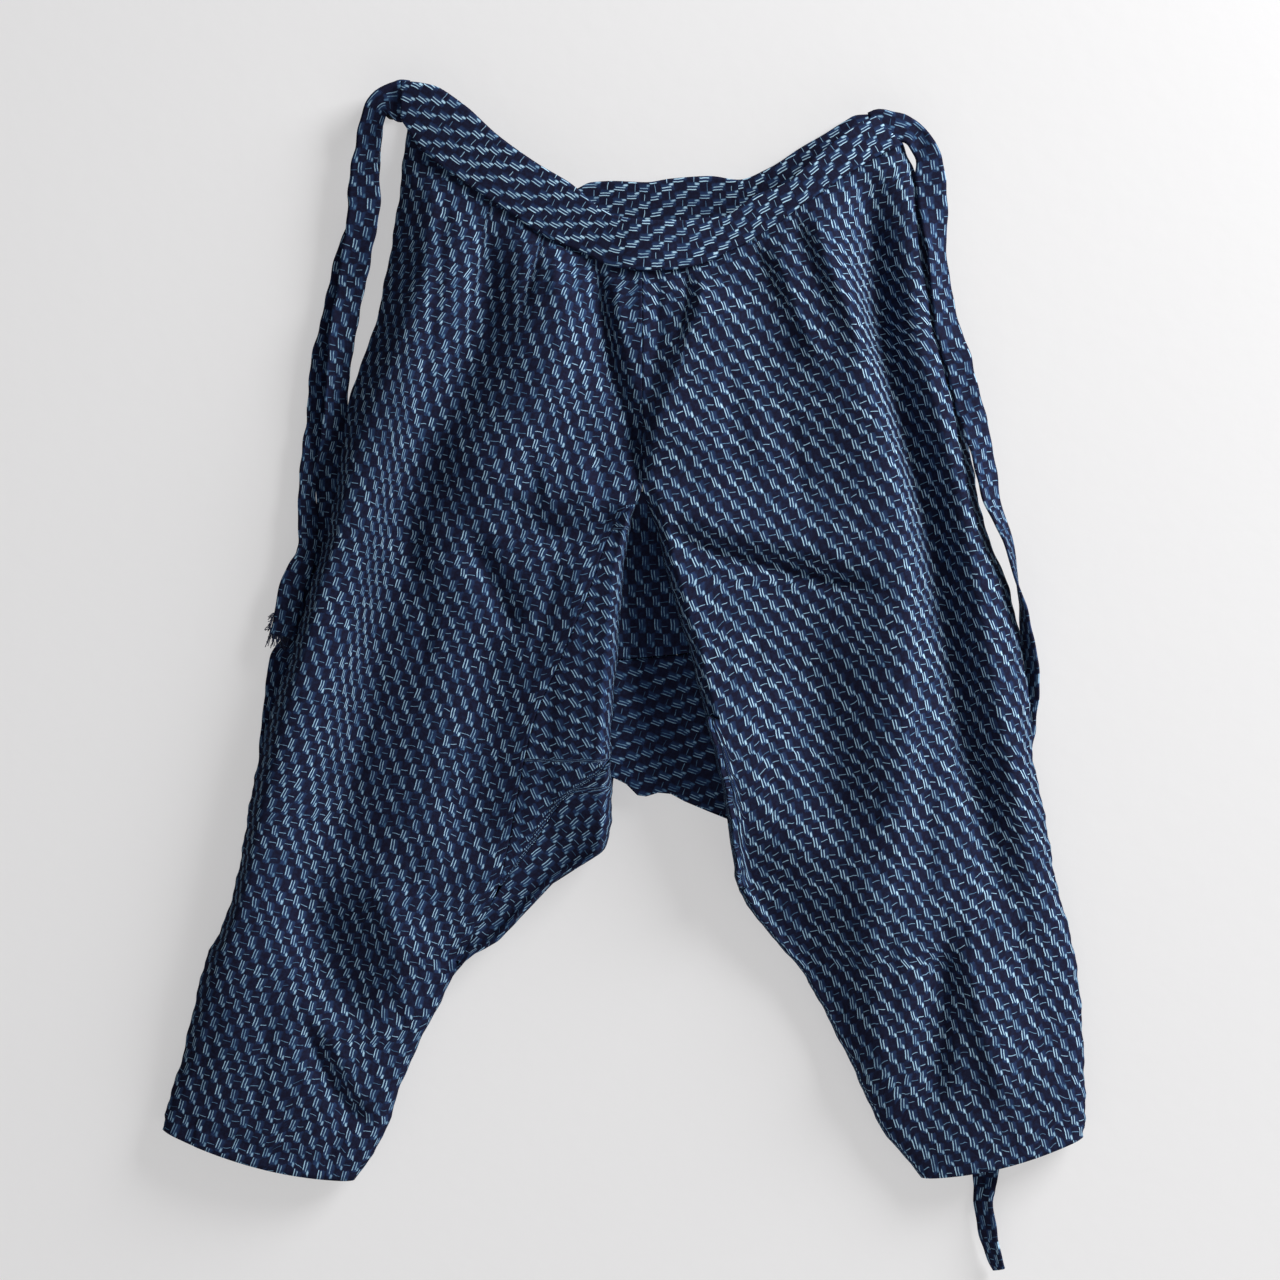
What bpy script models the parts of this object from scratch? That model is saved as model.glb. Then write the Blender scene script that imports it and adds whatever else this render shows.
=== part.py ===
# Monpe, Japanese work trousers of indigo kasuri cotton, hung flat on a wall from two pegs.
#
# The frame: +X to the viewer's right, +Y into the wall, +Z up, in metres. The wall is the plane y = 0 and
# the origin lies on it midway between the two pegs. Left and right are the viewer's. The tables below are
# in millimetres, x and z from a drafting point near the waist, and a depth is a distance out from the wall.

import math

import bmesh
import bpy
import numpy as np

MM = 0.001

CLOTH = 1.6
BAND = 2.2
STRAP = 2.2
SEAM = 0.3
CENTRE_X = 5.0
BACK_DEPTH = 6.0
FACE_OVER_EDGE = 8.0
FULLNESS = 0.8
# How wide a turned edge's roll is in front and behind, and its largest part of a narrow piece.
EDGE_ROLL = 10.0
BACK_ROLL = 8.0
ROLL_SHARE = 0.4
# Folds die out this far from a turned edge.
CALM = 18.0

# The two pegs, which are round rods with a wall plate and a rounded tip.
PEG_PLACES = {"hook_left": (-196.0, 7.0), "hook_right": (210.0, -13.0)}
ORIGIN = (7.0, -3.0)
PEG = (
    # radius, distance from the wall
    (6.0, 0.0),
    (6.0, 2.2),
    (5.2, 3.0),
    (2.6, 3.0),
    (2.6, 19.2),
    (3.4, 19.8),
    (3.4, 21.8),
    (2.2, 22.7),
)
PEG_SIDES = 24


class Table:
    """Rows of sizes under named columns, read at any place between two rows."""

    def __init__(self, columns, rows, first=0):
        self.columns = columns.split()
        self.rows = rows
        self.first = first

    def at(self, column, place):
        k = self.columns.index(column)
        places = [self.first + n for n in range(len(self.rows))]
        return float(np.interp(place, places, [row[k] for row in self.rows]))


# How cloth turns at a folded edge: the way in from the edge as a part of the roll's width, the part of
# the rise reached there, and the way in where the same columns end flat at a seam.
TURN = (
    (0.0, 0.0, 0.0),
    (0.0, 0.22, 0.2),
    (0.1, 0.52, 0.4),
    (0.36, 0.8, 0.6),
    (0.72, 0.97, 0.85),
)

# Sections down each leg, from the waist seam to the hem. A section runs from the outer edge to the
# inner one, which is the centre seam down to the crotch, in row 5.
LEFT_OUTLINE = Table("outer_x outer_z inner_x inner_z sag", (
    (-183, -15, CENTRE_X, -127, 0),
    (-189, -66, CENTRE_X, -160, 0),
    (-197, -115, CENTRE_X, -194, 0),
    (-209, -169, CENTRE_X, -229, 0),
    (-230, -228, CENTRE_X, -262, 0),
    (-238, -280, CENTRE_X, -293, 0),
    (-245, -323, -4, -325, 0),
    (-262, -380, -11, -381, 0),
    (-276, -430, -15, -434, 0),
    (-293, -478, -19, -480, 0),
    (-302, -514, -20, -514, 0),
    (-309, -546, -19, -546, 0),
    (-314, -578, -22, -579, 0),
    (-320, -610, -67, -613, 0),
    (-331, -646, -109, -657, 0),
    (-344, -672, -138, -676, 0),
    (-353, -707, -160, -714, 0),
    (-364, -754, -186, -768, 2),
    (-375, -789, -202, -814, 4),
    (-379, -809, -225, -850, 8),
))
RIGHT_OUTLINE = Table("outer_x outer_z inner_x inner_z sag", (
    (213, -22, CENTRE_X, -127, 0),
    (228, -62, CENTRE_X, -160, 0),
    (235, -112, CENTRE_X, -194, 0),
    (244, -166, CENTRE_X, -229, 0),
    (257, -217, CENTRE_X, -262, 0),
    (269, -276, CENTRE_X, -293, 0),
    (278, -322, 15, -326, 0),
    (299, -378, 28, -378, 0),
    (309, -424, 43, -428, 0),
    (316, -478, 55, -478, 0),
    (318, -512, 64, -514, 0),
    (325, -546, 71, -546, 0),
    (331, -579, 76, -580, 0),
    (336, -610, 81, -614, 0),
    (346, -646, 101, -646, 0),
    (353, -680, 132, -682, 0),
    (357, -720, 152, -717, 0),
    (359, -763, 176, -765, 2),
    (360, -794, 195, -806, 3),
    (358, -815, 229, -848, 6),
))
# Depths at the same sections: where the front's outer edge ends, the crown of the section, its face
# beside the inner edge and where the inner edge ends. parted is 1 where that edge is folded back, with
# the legs apart, waist how far a section follows the waist seam's curve, and slit how far the side is open.
FORM = Table("edge crown brow inner_edge parted waist slit", (
    (17, 38, 44, 44, 0, 1.0, 10),
    (16, 40, 45, 45, 0, 0.8, 8),
    (15, 41, 46, 46, 0, 0.6, 6),
    (14, 42, 46, 46, 0, 0.35, 3.5),
    (13, 42, 45, 45, 0, 0.15, 1.5),
    (12, 41, 43, 43, 0, 0, 0),
    (12, 41, 40, 23, 1, 0, 0),
    (12, 41, 37, 20, 1, 0, 0),
    (12, 41, 35, 19, 1, 0, 0),
    (12, 40, 33, 17, 1, 0, 0),
    (12, 40, 31, 14, 1, 0, 0),
    (12, 39, 28, 12, 1, 0, 0),
    (12, 39, 26, 12, 1, 0, 0),
    (12, 38, 24, 12, 1, 0, 0),
    (12, 37, 23, 12, 1, 0, 0),
    (12, 36, 22, 12, 1, 0, 0),
    (12, 35, 21, 12, 1, 0, 0),
    (12, 33, 20, 12, 1, 0, 0),
    (12, 30, 19, 12, 1, 0, 0),
    (12, 28, 18, 12, 1, 0, 0),
))
CROTCH_ROW = 5
HEM_ROW = 19
FRONT_STEPS = (3, 2, 2, 2, 2, 4, 2, 2, 2, 2, 2, 2, 2, 2, 1, 2, 2, 1, 1)
BACK_STEPS = (2, 1, 1, 1, 1, 4, 1, 1, 1, 2, 1, 1, 2, 2, 1, 1, 1, 1, 1)

# Columns across a front panel, as parts of the way from one turned edge to the other. They are closer
# where a pleat hangs from the waist seam.
LEFT_COLUMNS = (0.1, 0.2, 0.3, 0.4, 0.48, 0.54, 0.6, 0.67, 0.74, 0.8, 0.85, 0.92)
RIGHT_COLUMNS = (0.08, 0.16, 0.24, 0.31, 0.38, 0.45, 0.52, 0.58, 0.65, 0.73, 0.8, 0.86, 0.93)
BACK_COLUMNS = (0.2, 0.4, 0.6, 0.8)
GUSSET_COLUMNS = (0.33, 0.67)
UNDER_COLUMNS = (0.5,)

# Seams of the crotch gusset on the left leg's front, from row 5 to row 15: the front panel ends at split,
# and the gusset's front piece ends at under, where its turned-under piece begins.
LEFT_SEAMS = Table("split under", (
    (17, 17),
    (-16, -4),
    (-38, -11),
    (-60, -15),
    (-80, -19),
    (-89, -23),
    (-95, -59),
    (-101, -81),
    (-109, -106),
    (-131, -131),
    (-142, -142),
), first=5)
GUSSET_FRONT_ROWS = (5.75, 6, 6.5, 7, 7.5, 8, 8.5, 9, 9.5, 9.9, 10.05, 10.5, 11, 11.5, 12, 12.5, 13)
GUSSET_FRONT_FLAT = 10
GUSSET_UNDER_ROWS = (10.15, 10.5, 11, 11.5, 12, 12.5, 13, 13.5, 14, 14.5, 15)
# The gusset's other edge, a narrow strip along the right leg's inner fold.
STRIP = Table("width", ((4,), (5.6,), (6.4,), (6,), (4,)), first=9)
STRIP_ROWS = (9.15, 9.5, 10, 10.5, 11, 11.5, 12, 12.5, 12.85)
# The right panel's rows at the strip's two ends, in place of rows 9 and 13.
STRIP_END_ROWS = (8.9, 9.05, 12.95, 13.1)

# The front waistband: its top edge and its lower edge over the waist seam, from end to end.
FRONT_BAND = Table("top_x top_z low_x low_z", (
    (-187, 30, -187, -6),
    (-171, 26, -179, -16),
    (-159, 22, -173, -26),
    (-135, 6, -162, -36),
    (-109, -18, -138, -54),
    (-77, -41, -102, -78),
    (-52, -56, -73, -98),
    (-28, -76, -41, -112),
    (-9, -84, -17, -123),
    (15, -86, 13, -126),
    (41, -86, 37, -124),
    (54, -84, 58, -118),
    (70, -82, 72, -111),
    (94, -66, 106, -92),
    (118, -56, 131, -74),
    (139, -38, 154, -58),
    (158, -22, 178, -42),
    (174, -5, 195, -32),
    (190, 6, 212, -24),
))
BAND_LAP = 4.0
# The back waistband, whose inner face shows above the front one.
BACK_BAND = Table("top_x top_z low_x low_z", (
    (-182, 22, -184, -26),
    (-165, 16, -166, -40),
    (-141, 3, -140, -58),
    (-109, -23, -110, -76),
    (-77, -44, -78, -89),
    (-52, -56, -52, -94),
    (-36, -50, -36, -97),
    (-18, -49, -16, -99),
    (8, -50, 8, -100),
    (28, -47, 28, -99),
    (59, -45, 59, -96),
    (82, -48, 82, -92),
    (106, -39, 106, -84),
    (131, -23, 131, -71),
    (150, -12, 150, -62),
    (166, -2, 166, -53),
    (178, 4, 180, -46),
    (199, 5, 201, -38),
))
BAND_ROWS = (0.0, 0.3, 0.7, 1.0)
# The front band lies over the panels' fullest depth this near to it, and both bands clear them by this.
BAND_REACH = 14.0
BAND_CLEAR = 0.4

# The crotch between the legs, an upper piece that hangs from the fork and the gusset below it. The right
# leg's inner edge reaches its lower edge at row 11.4, the left's at 10.4, and the rows fan out to meet it.
CROTCH_TUCK = 3.0
CROTCH_FAN_ROW = 10.0
CROTCH_ROWS = (5.25, 5.5, 5.75, 6, 6.5, 7, 7.5, 7.97, 8.03, 8.5, 9, 9.5, 10, 10.6, 11.2, 11.4)
CROTCH_SPLIT = 8.0
CROTCH_LEFT_END = 10.4
CROTCH_EDGE = Table("x z", (
    (-23, -527), (-18, -528), (-8, -533), (1, -542), (8, -543), (18, -540), (28, -541), (39, -547),
    (58, -555), (76, -561),
))
# It dips between the legs, from this far in from its sides. It lies a little behind the legs' edges, and
# never comes nearer the wall than the last depth.
CROTCH_DIP = 7.0
CROTCH_SIDES = 0.06
CROTCH_BEHIND_FORK = 2.0
CROTCH_BEHIND_LEGS = 0.3
CROTCH_LEAST = 11.6
# The gusset behind: its apex on the centre back seam, and how fast it widens downward. A leaning row meets
# its edge after this many steps towards it.
BACK_APEX = -354.0
BACK_SPREAD = 0.37
SEAM_STEPS = 12
GUSSET_BACK_END = {-1: 13.6, 1: 14.3}
GUSSET_BACK_LEFT_ROWS = (13.6, 13.3, 13, 12.5, 12, 11)
GUSSET_BACK_RIGHT_ROWS = (12, 12.5, 13, 13.5, 14, 14.3)
GUSSET_BACK_FLATS = (0.0, 0.35, 0.75)
GUSSET_BACK_LAST = (73, -561)
# Where the back's inner edge lies behind the front's: clear of the gusset, then, below this row, close.
BACK_CLEAR = 1.2
LEG_FREE_ROW = 15.5
# The back's outer edge is a full fold where it stands at least this far forward.
FULL_TURN = 5.7
BACK_EXTRA_ROWS = {-1: (13.6, 13.72), 1: (14.3, 14.42)}

# Folds and pleats in the front, each a soft ridge (+) or trough (-) along its own line.
FOLDS = (
    ("left outer ridge", 4, 22, ((-175, -60), (-205, -260), (-240, -420), (-285, -590), (-330, -700))),
    ("left hip hollow", -5, 26, ((-110, -140), (-125, -240))),
    ("left inner ridge", 5, 15, ((-38, -160), (-30, -270), (-60, -330))),
    ("left outer pleat", -4, 8, ((-73, -104), (-86, -165))),
    ("left inner pleat", -4, 8, ((-27, -118), (-22, -195))),
    ("left knee crease", -4, 10, ((-157, -300), (-163, -385))),
    ("left thigh crease", -4, 10, ((-130, -330), (-110, -405))),
    ("left gusset hollow", -4, 13, ((-62, -520), (-75, -560))),
    ("left calf hollow", -4, 16, ((-245, -625), (-215, -700))),
    ("left hem crease", -4, 10, ((-262, -735), (-230, -800))),
    ("right inner pleat", -4, 8, ((42, -124), (30, -195))),
    ("right middle pleat", -5, 8, ((93, -104), (120, -175))),
    ("right outer pleat", -3, 8, ((145, -66), (155, -140))),
    ("right crotch crease", -5, 10, ((40, -340), (75, -361), (195, -381))),
    ("right long trough", -8, 15, ((203, -190), (235, -310), (262, -440), (287, -560), (307, -640))),
    ("right front ridge", 6, 19, ((165, -90), (195, -230), (219, -390), (213, -550), (195, -705))),
    ("right outer ridge", 4, 13, ((280, -370), (300, -505), (312, -590))),
    ("right thigh hollow", -4, 18, ((172, -460), (170, -545))),
    ("right knee hollow", -4, 14, ((132, -570), (148, -620))),
    ("right shin crease", -5, 11, ((272, -655), (252, -740))),
    ("right shin ridge", 4, 16, ((285, -690), (310, -780))),
)
# A fold's height at the two ends of its line, and how soon it is whole.
FOLD_START = 0.35
FOLD_END = 0.15
FOLD_GROWTH = 4.0

# The straps that tie the waist, root first: the middle line, the depth of the strap's face, how far it
# is turned edge-on in degrees, and its width. They hang free and both ends of each strap are told.
TIE_LEFT_FRONT = Table("x z depth turn width", (
    (-180, 12, 25.6, 0, 32),
    (-188, 12, 25.6, 0, 34),
    (-194, 12, 25.6, 0, 30),
    (-200, 11, 25.6, 0, 24),
    (-206, 7, 24.6, 0, 19),
    (-210, -1, 22, 0, 18),
    (-213, -13, 19, 0, 19),
    (-215, -26, 18, 0, 20),
    (-217, -41, 18, 0, 22),
    (-217, -61, 18, 0, 26),
    (-219, -84, 18, 0, 25),
    (-225, -117, 17, 0, 24),
    (-230, -148, 17, -10, 22),
    (-236, -186, 16, -35, 22),
    (-239, -226, 15, -45, 22),
    (-246, -266, 9, -35, 15),
    (-247, -290, 6, -10, 14),
    (-247, -322, 4.5, 0, 15),
    (-255, -354, 4.5, 0, 18),
    (-265, -386, 4.5, 0, 18),
    (-276, -418, 4.5, 0, 18),
    (-286, -434, 4.5, 0, 16),
    (-291, -454, 4.5, 0, 13),
    (-295, -482, 4.5, 0, 11),
    (-298, -509, 4.5, 0, 10),
    (-300, -540, 4.5, 0, 12),
))
TIE_LEFT_BACK = Table("x z depth turn width", (
    (-176, 14, 8.2, 0, 18),
    (-186, 17, 8.4, 0, 15),
    (-196, 17.5, 9, 0, 14),
    (-202, 16.5, 9.6, 0, 14),
    (-207, 11, 10, 0, 14),
    (-210, 2, 10, 0, 15),
    (-212, -12, 10, 0, 17),
    (-215, -40, 10, 0, 20),
    (-217, -62, 10, 0, 21),
    (-221, -86, 10, 0, 21),
    (-233, -117, 10, 0, 20),
    (-238, -142, 10, 0, 20),
    (-244, -166, 9.5, -10, 18),
    (-252, -187, 9, -20, 14),
    (-254, -210, 9, -20, 16),
    (-256, -238, 9, -20, 16),
    (-260, -270, 9.5, -25, 15),
    (-263, -297, 11, -25, 15),
    (-262.5, -336, 14, -20, 15),
    (-264, -349, 15, -10, 15),
    (-270, -363, 15.5, 0, 20),
    (-277, -383, 16, 0, 20),
    (-280, -398, 16, 0, 19),
    (-284, -414, 16, 0, 19),
))
TIE_RIGHT = Table("x z depth turn width", (
    (194, -7, 25.6, 0, 24),
    (202, -8, 25.6, 0, 24),
    (209, -8.5, 25.6, 0, 23),
    (217, -12, 26, 0, 20),
    (224, -18, 27, 0, 19),
    (230, -27, 27, 0, 19),
    (234, -37, 27, 0, 20),
    (236, -50, 27, 0, 21),
    (237, -76, 27, -10, 22),
    (240, -110, 27, -45, 22),
    (243, -138, 27, -40, 22),
    (248, -168, 27, -25, 22),
    (256, -195, 27, -10, 22),
    (261, -215, 27, -10, 22),
    (268, -241, 27, -15, 22),
    (274, -262, 27, -30, 22),
    (280, -287, 27, -40, 22),
    (283, -305, 27, -50, 22),
    (291, -324, 27, -60, 22),
    (298, -342, 26, -68, 22),
    (302, -360, 25, -75, 22),
    (306, -377, 23, -85, 22),
    (310, -392, 20, -95, 22),
    (312, -407, 17, -105, 20),
    (316, -428, 13, -118, 18),
    (318, -450, 8, -130, 15),
    (316, -472, 4, -165, 14),
    (313, -490, 2.6, -180, 16),
    (308, -510, 2.5, -180, 18),
    (302, -540, 2.5, -180, 20),
    (294, -600, 2.5, -180, 22),
    (284, -690, 2.5, -180, 22),
    (280, -760, 2.5, -180, 22),
    (281, -810, 2.5, -180, 22),
    (281, -830, 2.5, -180, 20),
    (281, -848, 2.5, -180, 20),
    (280, -858, 5, -160, 18),
    (279, -866, 8, -140, 18),
    (282, -890, 9, -140, 17),
    (286, -906, 9, -135, 15),
    (292, -922, 8, -135, 12),
))
STRAP_STEP = 14.0
STRAP_COLUMNS = (-0.5, 0.0, 0.5)

INDIGO = (0.02, 0.028, 0.07)
BLACK_IRON = (0.02, 0.02, 0.022)


def material(name, colour, roughness, metallic):
    surface = bpy.data.materials.new(name)
    surface.use_nodes = True
    shader = surface.node_tree.nodes["Principled BSDF"]
    shader.inputs["Base Color"].default_value = (*colour, 1.0)
    shader.inputs["Roughness"].default_value = roughness
    shader.inputs["Metallic"].default_value = metallic
    return surface


def place(x, z, depth):
    return ((x - ORIGIN[0]) * MM, -depth * MM, (z - ORIGIN[1]) * MM)


def cloth(name, grid, thickness, to_wall=False):
    """A sheet of cloth: an open surface through rows of points, seen face first, made a wall."""
    mesh = bmesh.new()
    rows = [[mesh.verts.new(place(*point)) for point in row] for row in grid]
    for upper, lower in zip(rows, rows[1:]):
        for k in range(len(upper) - 1):
            corners = [upper[k], lower[k], lower[k + 1], upper[k + 1]]
            mesh.faces.new(corners[::-1] if to_wall else corners)
    data = bpy.data.meshes.new(name)
    mesh.to_mesh(data)
    mesh.free()
    data.shade_smooth()
    piece = bpy.data.objects.new(name, data)
    PARTS.objects.link(piece)
    wall = piece.modifiers.new("wall", "SOLIDIFY")
    wall.thickness = thickness * MM
    wall.offset = -1.0
    data.materials.append(material(name, INDIGO, 0.9, 0.0))
    return piece


def line_height(line, column_x, column_z, x):
    kx, kz = line.columns.index(column_x), line.columns.index(column_z)
    return float(np.interp(x, [row[kx] for row in line.rows], [row[kz] for row in line.rows]))


def relief(x, z):
    """How far the folds and pleats lift the front off its plain form."""
    total = 0.0
    for _, height, width, points in FOLDS:
        nearest = math.inf
        length = sum(math.dist(a, b) for a, b in zip(points, points[1:]))
        gone = 0.0
        for (ax, az), (bx, bz) in zip(points, points[1:]):
            run = math.dist((ax, az), (bx, bz))
            share = ((x - ax) * (bx - ax) + (z - az) * (bz - az)) / run ** 2
            share = min(1.0, max(0.0, share))
            px, pz = x - ax - share * (bx - ax), z - az - share * (bz - az)
            if math.hypot(px, pz) < nearest:
                nearest = math.hypot(px, pz)
                part = (gone + share * run) / length
            gone += run
        fade = min(1.0, FOLD_START + part * FOLD_GROWTH, FOLD_END + (1.0 - part) * FOLD_GROWTH)
        total += height * fade * math.exp(-(nearest / width) ** 2)
    return total


def row_places(steps):
    places = []
    for k, count in enumerate(steps):
        places += [k + n / count for n in range(count)]
    return places + [float(len(steps))]


class Leg:
    """The form that the front and back of one leg are cut from."""

    def __init__(self, outline):
        self.outline = outline

    def outer(self, row):
        return self.outline.at("outer_x", row)

    def inner(self, row):
        return self.outline.at("inner_x", row)

    def z(self, row, x, back=False):
        part = (x - self.outer(row)) / (self.inner(row) - self.outer(row))
        top, low = self.outline.at("outer_z", row), self.outline.at("inner_z", row)
        level = top + (low - top) * part - self.outline.at("sag", row) * 4 * part * (1 - part)
        follow = FORM.at("waist", row)
        if follow > 0:
            seam = BACK_BAND if back else FRONT_BAND
            across = self.outer(0) + (self.inner(0) - self.outer(0)) * part
            chord = self.outline.at("outer_z", 0) * (1 - part) + self.outline.at("inner_z", 0) * part
            level += follow * (line_height(seam, "low_x", "low_z", across) + BAND_LAP - chord)
        return level

    def face(self, row, x):
        """Depth of the front's plain face, away from its turned edges."""
        part = (x - self.outer(row)) / (self.inner(row) - self.outer(row))
        part = min(1.0, max(0.0, part))
        end = FORM.at("edge", row) + FACE_OVER_EDGE if part < 0.5 else FORM.at("brow", row)
        return end + (FORM.at("crown", row) - end) * math.sin(math.pi * part) ** FULLNESS

    def front(self, row, x):
        z = self.z(row, x)
        near = abs(x - self.outer(row))
        if FORM.at("parted", row) > 0:
            near = min(near, abs(x - self.inner(row)))
        calm = min(1.0, near / CALM)
        return self.face(row, x) + relief(x, z) * calm * calm * (3 - 2 * calm)

    def front_row(self, row, start, stop, columns, turned_start, turned_stop):
        """One row of a front piece, from start on the outer side to stop on the inner one.

        turned says how far each edge is folded back: 0 at a seam, where the cloth lies flat, and 1 at a
        full fold. None stands for a seam along the whole piece, which needs fewer columns."""
        way = math.copysign(1.0, stop - start)
        width = abs(stop - start)
        roll = min(EDGE_ROLL, ROLL_SHARE * width)
        line = []
        for edge, inwards, turned, end in (
            (start, way, turned_start, FORM.at("edge", row)),
            (stop, -way, turned_stop, FORM.at("inner_edge", row)),
        ):
            side = []
            for n, (folded, rise, flat) in enumerate(TURN):
                if turned is None and n in (2, 3):
                    continue
                t = turned or 0.0
                reach = folded * t + flat * (1 - t)
                x = edge + inwards * roll * reach
                full = self.front(row, edge + inwards * roll * TURN[1][2] if n == 0 else x)
                side.append((x, self.z(row, x), full - t * (1 - rise) * (full - end)))
            line.append(side)
        middle = []
        for part in columns:
            x = start + way * (roll + part * (width - 2 * roll))
            middle.append((x, self.z(row, x), self.front(row, x)))
        points = line[0] + middle + line[1][::-1]
        return points if way > 0 else points[::-1]

    def behind(self, row):
        return FORM.at("edge", row) - SEAM - FORM.at("slit", row)

    def back_row(self, row, stop, turned_stop):
        """One row of the back, from the outer edge to stop, in the plane near the wall."""
        start = self.outer(row)
        way = math.copysign(1.0, stop - start)
        width = abs(stop - start)
        roll = min(BACK_ROLL, ROLL_SHARE * width)
        forward = max(0.0, self.behind(row) - BACK_DEPTH)
        clear = SEAM if row > LEG_FREE_ROW else BACK_CLEAR
        line = []
        for edge, inwards, turned, end in (
            (start, way, min(1.0, forward / FULL_TURN), BACK_DEPTH + forward),
            (stop, -way, turned_stop, FORM.at("inner_edge", row) - clear),
        ):
            side = []
            for folded, rise, flat in TURN:
                x = edge + inwards * roll * (folded * turned + flat * (1 - turned))
                depth = BACK_DEPTH + (end - BACK_DEPTH) * (1 - rise) * (turned > 0)
                side.append((x, self.z(row, x, back=True), depth))
            line.append(side)
        middle = []
        for part in BACK_COLUMNS:
            x = start + way * (roll + part * (width - 2 * roll))
            middle.append((x, self.z(row, x, back=True), BACK_DEPTH))
        points = line[0] + middle + line[1][::-1]
        return points if way > 0 else points[::-1]


LEFT = Leg(LEFT_OUTLINE)
RIGHT = Leg(RIGHT_OUTLINE)


def front_panels():
    grid = []
    for row in row_places(FRONT_STEPS):
        stop, turned = LEFT.inner(row), FORM.at("parted", row)
        if row <= CROTCH_ROW:
            stop -= SEAM / 2
        elif GUSSET_FRONT_ROWS[0] <= row <= GUSSET_UNDER_ROWS[-1]:
            stop, turned = LEFT_SEAMS.at("split", row) - SEAM / 2, 0.0
        grid.append(LEFT.front_row(row, LEFT.outer(row), stop, LEFT_COLUMNS, 1.0, turned))
    cloth("front_left", grid, CLOTH)

    grid = []
    above, first, last, below = STRIP_END_ROWS
    rows = [row for row in row_places(FRONT_STEPS) if not above < row < first and not last < row < below]
    for row in sorted(rows + list(STRIP_END_ROWS)):
        stop, turned = RIGHT.inner(row), FORM.at("parted", row)
        if row <= CROTCH_ROW:
            stop += SEAM / 2
        elif first <= row <= last:
            stop += STRIP.at("width", row) + SEAM / 2
            turned = 0.0
        grid.append(RIGHT.front_row(row, RIGHT.outer(row), stop, RIGHT_COLUMNS, 1.0, turned))
    cloth("front_right", grid, CLOTH)


def gusset_fronts():
    grid = []
    for row in GUSSET_FRONT_ROWS:
        start = LEFT_SEAMS.at("split", row) + SEAM / 2
        folded = row < GUSSET_FRONT_FLAT
        stop = LEFT.inner(row) if folded else LEFT_SEAMS.at("under", row) - SEAM / 2
        turned = FORM.at("parted", row) if folded else 0.0
        grid.append(LEFT.front_row(row, start, stop, GUSSET_COLUMNS, None, turned))
    cloth("gusset_front", grid, CLOTH)

    grid = []
    for row in GUSSET_UNDER_ROWS:
        start = max(LEFT_SEAMS.at("under", row), LEFT_SEAMS.at("split", row)) + SEAM / 2
        grid.append(LEFT.front_row(row, start, LEFT.inner(row), UNDER_COLUMNS, None, 1.0))
    cloth("gusset_under", grid, CLOTH)

    grid = []
    for row in STRIP_ROWS:
        stop = RIGHT.inner(row)
        start = stop + STRIP.at("width", row) - SEAM / 2
        grid.append(RIGHT.front_row(row, start, stop, (), None, 1.0))
    cloth("gusset_right", grid, CLOTH)


def back_seam(leg, row):
    """Where a back panel ends: at the centre back seam, then along the gusset's edge, then at the leg's
    own inner edge. Also says whether that end is folded."""
    side = 1 if leg is RIGHT else -1
    if row > GUSSET_BACK_END[side]:
        return leg.inner(row), 1.0
    x = CENTRE_X
    for _ in range(SEAM_STEPS):
        drop = max(0.0, BACK_APEX - leg.z(row, x, back=True))
        x = CENTRE_X + side * drop * BACK_SPREAD
    return x + side * SEAM / 2, 0.0


def back_panels():
    for name, leg in (("back_left", LEFT), ("back_right", RIGHT)):
        grid = []
        extra = BACK_EXTRA_ROWS[1 if leg is RIGHT else -1]
        for row in sorted(row_places(BACK_STEPS) + list(extra)):
            stop, turned = back_seam(leg, row)
            grid.append(leg.back_row(row, stop, turned))
        cloth(name, grid, CLOTH, to_wall=True)


def waistbands():
    grid = []
    for part in BAND_ROWS:
        row = []
        for top_x, top_z, low_x, low_z in FRONT_BAND.rows:
            x = top_x + (low_x - top_x) * part
            z = top_z + (low_z - top_z) * part
            leg, inwards = (LEFT, BAND_REACH) if low_x < CENTRE_X else (RIGHT, -BAND_REACH)
            fullest = max(leg.face(0, low_x), leg.face(0, low_x + inwards))
            row.append((x, z, fullest + BAND + 2 * SEAM + BAND_CLEAR))
        grid.append(row)
    cloth("waistband_front", grid, BAND)

    grid = []
    for part in BAND_ROWS:
        row = []
        for top_x, top_z, low_x, low_z in BACK_BAND.rows:
            x = top_x + (low_x - top_x) * part
            z = top_z + (low_z - top_z) * part
            row.append((x, z, BACK_DEPTH - BAND - BAND_CLEAR))
        grid.append(row)
    cloth("waistband_back", grid, BAND, to_wall=True)


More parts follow.
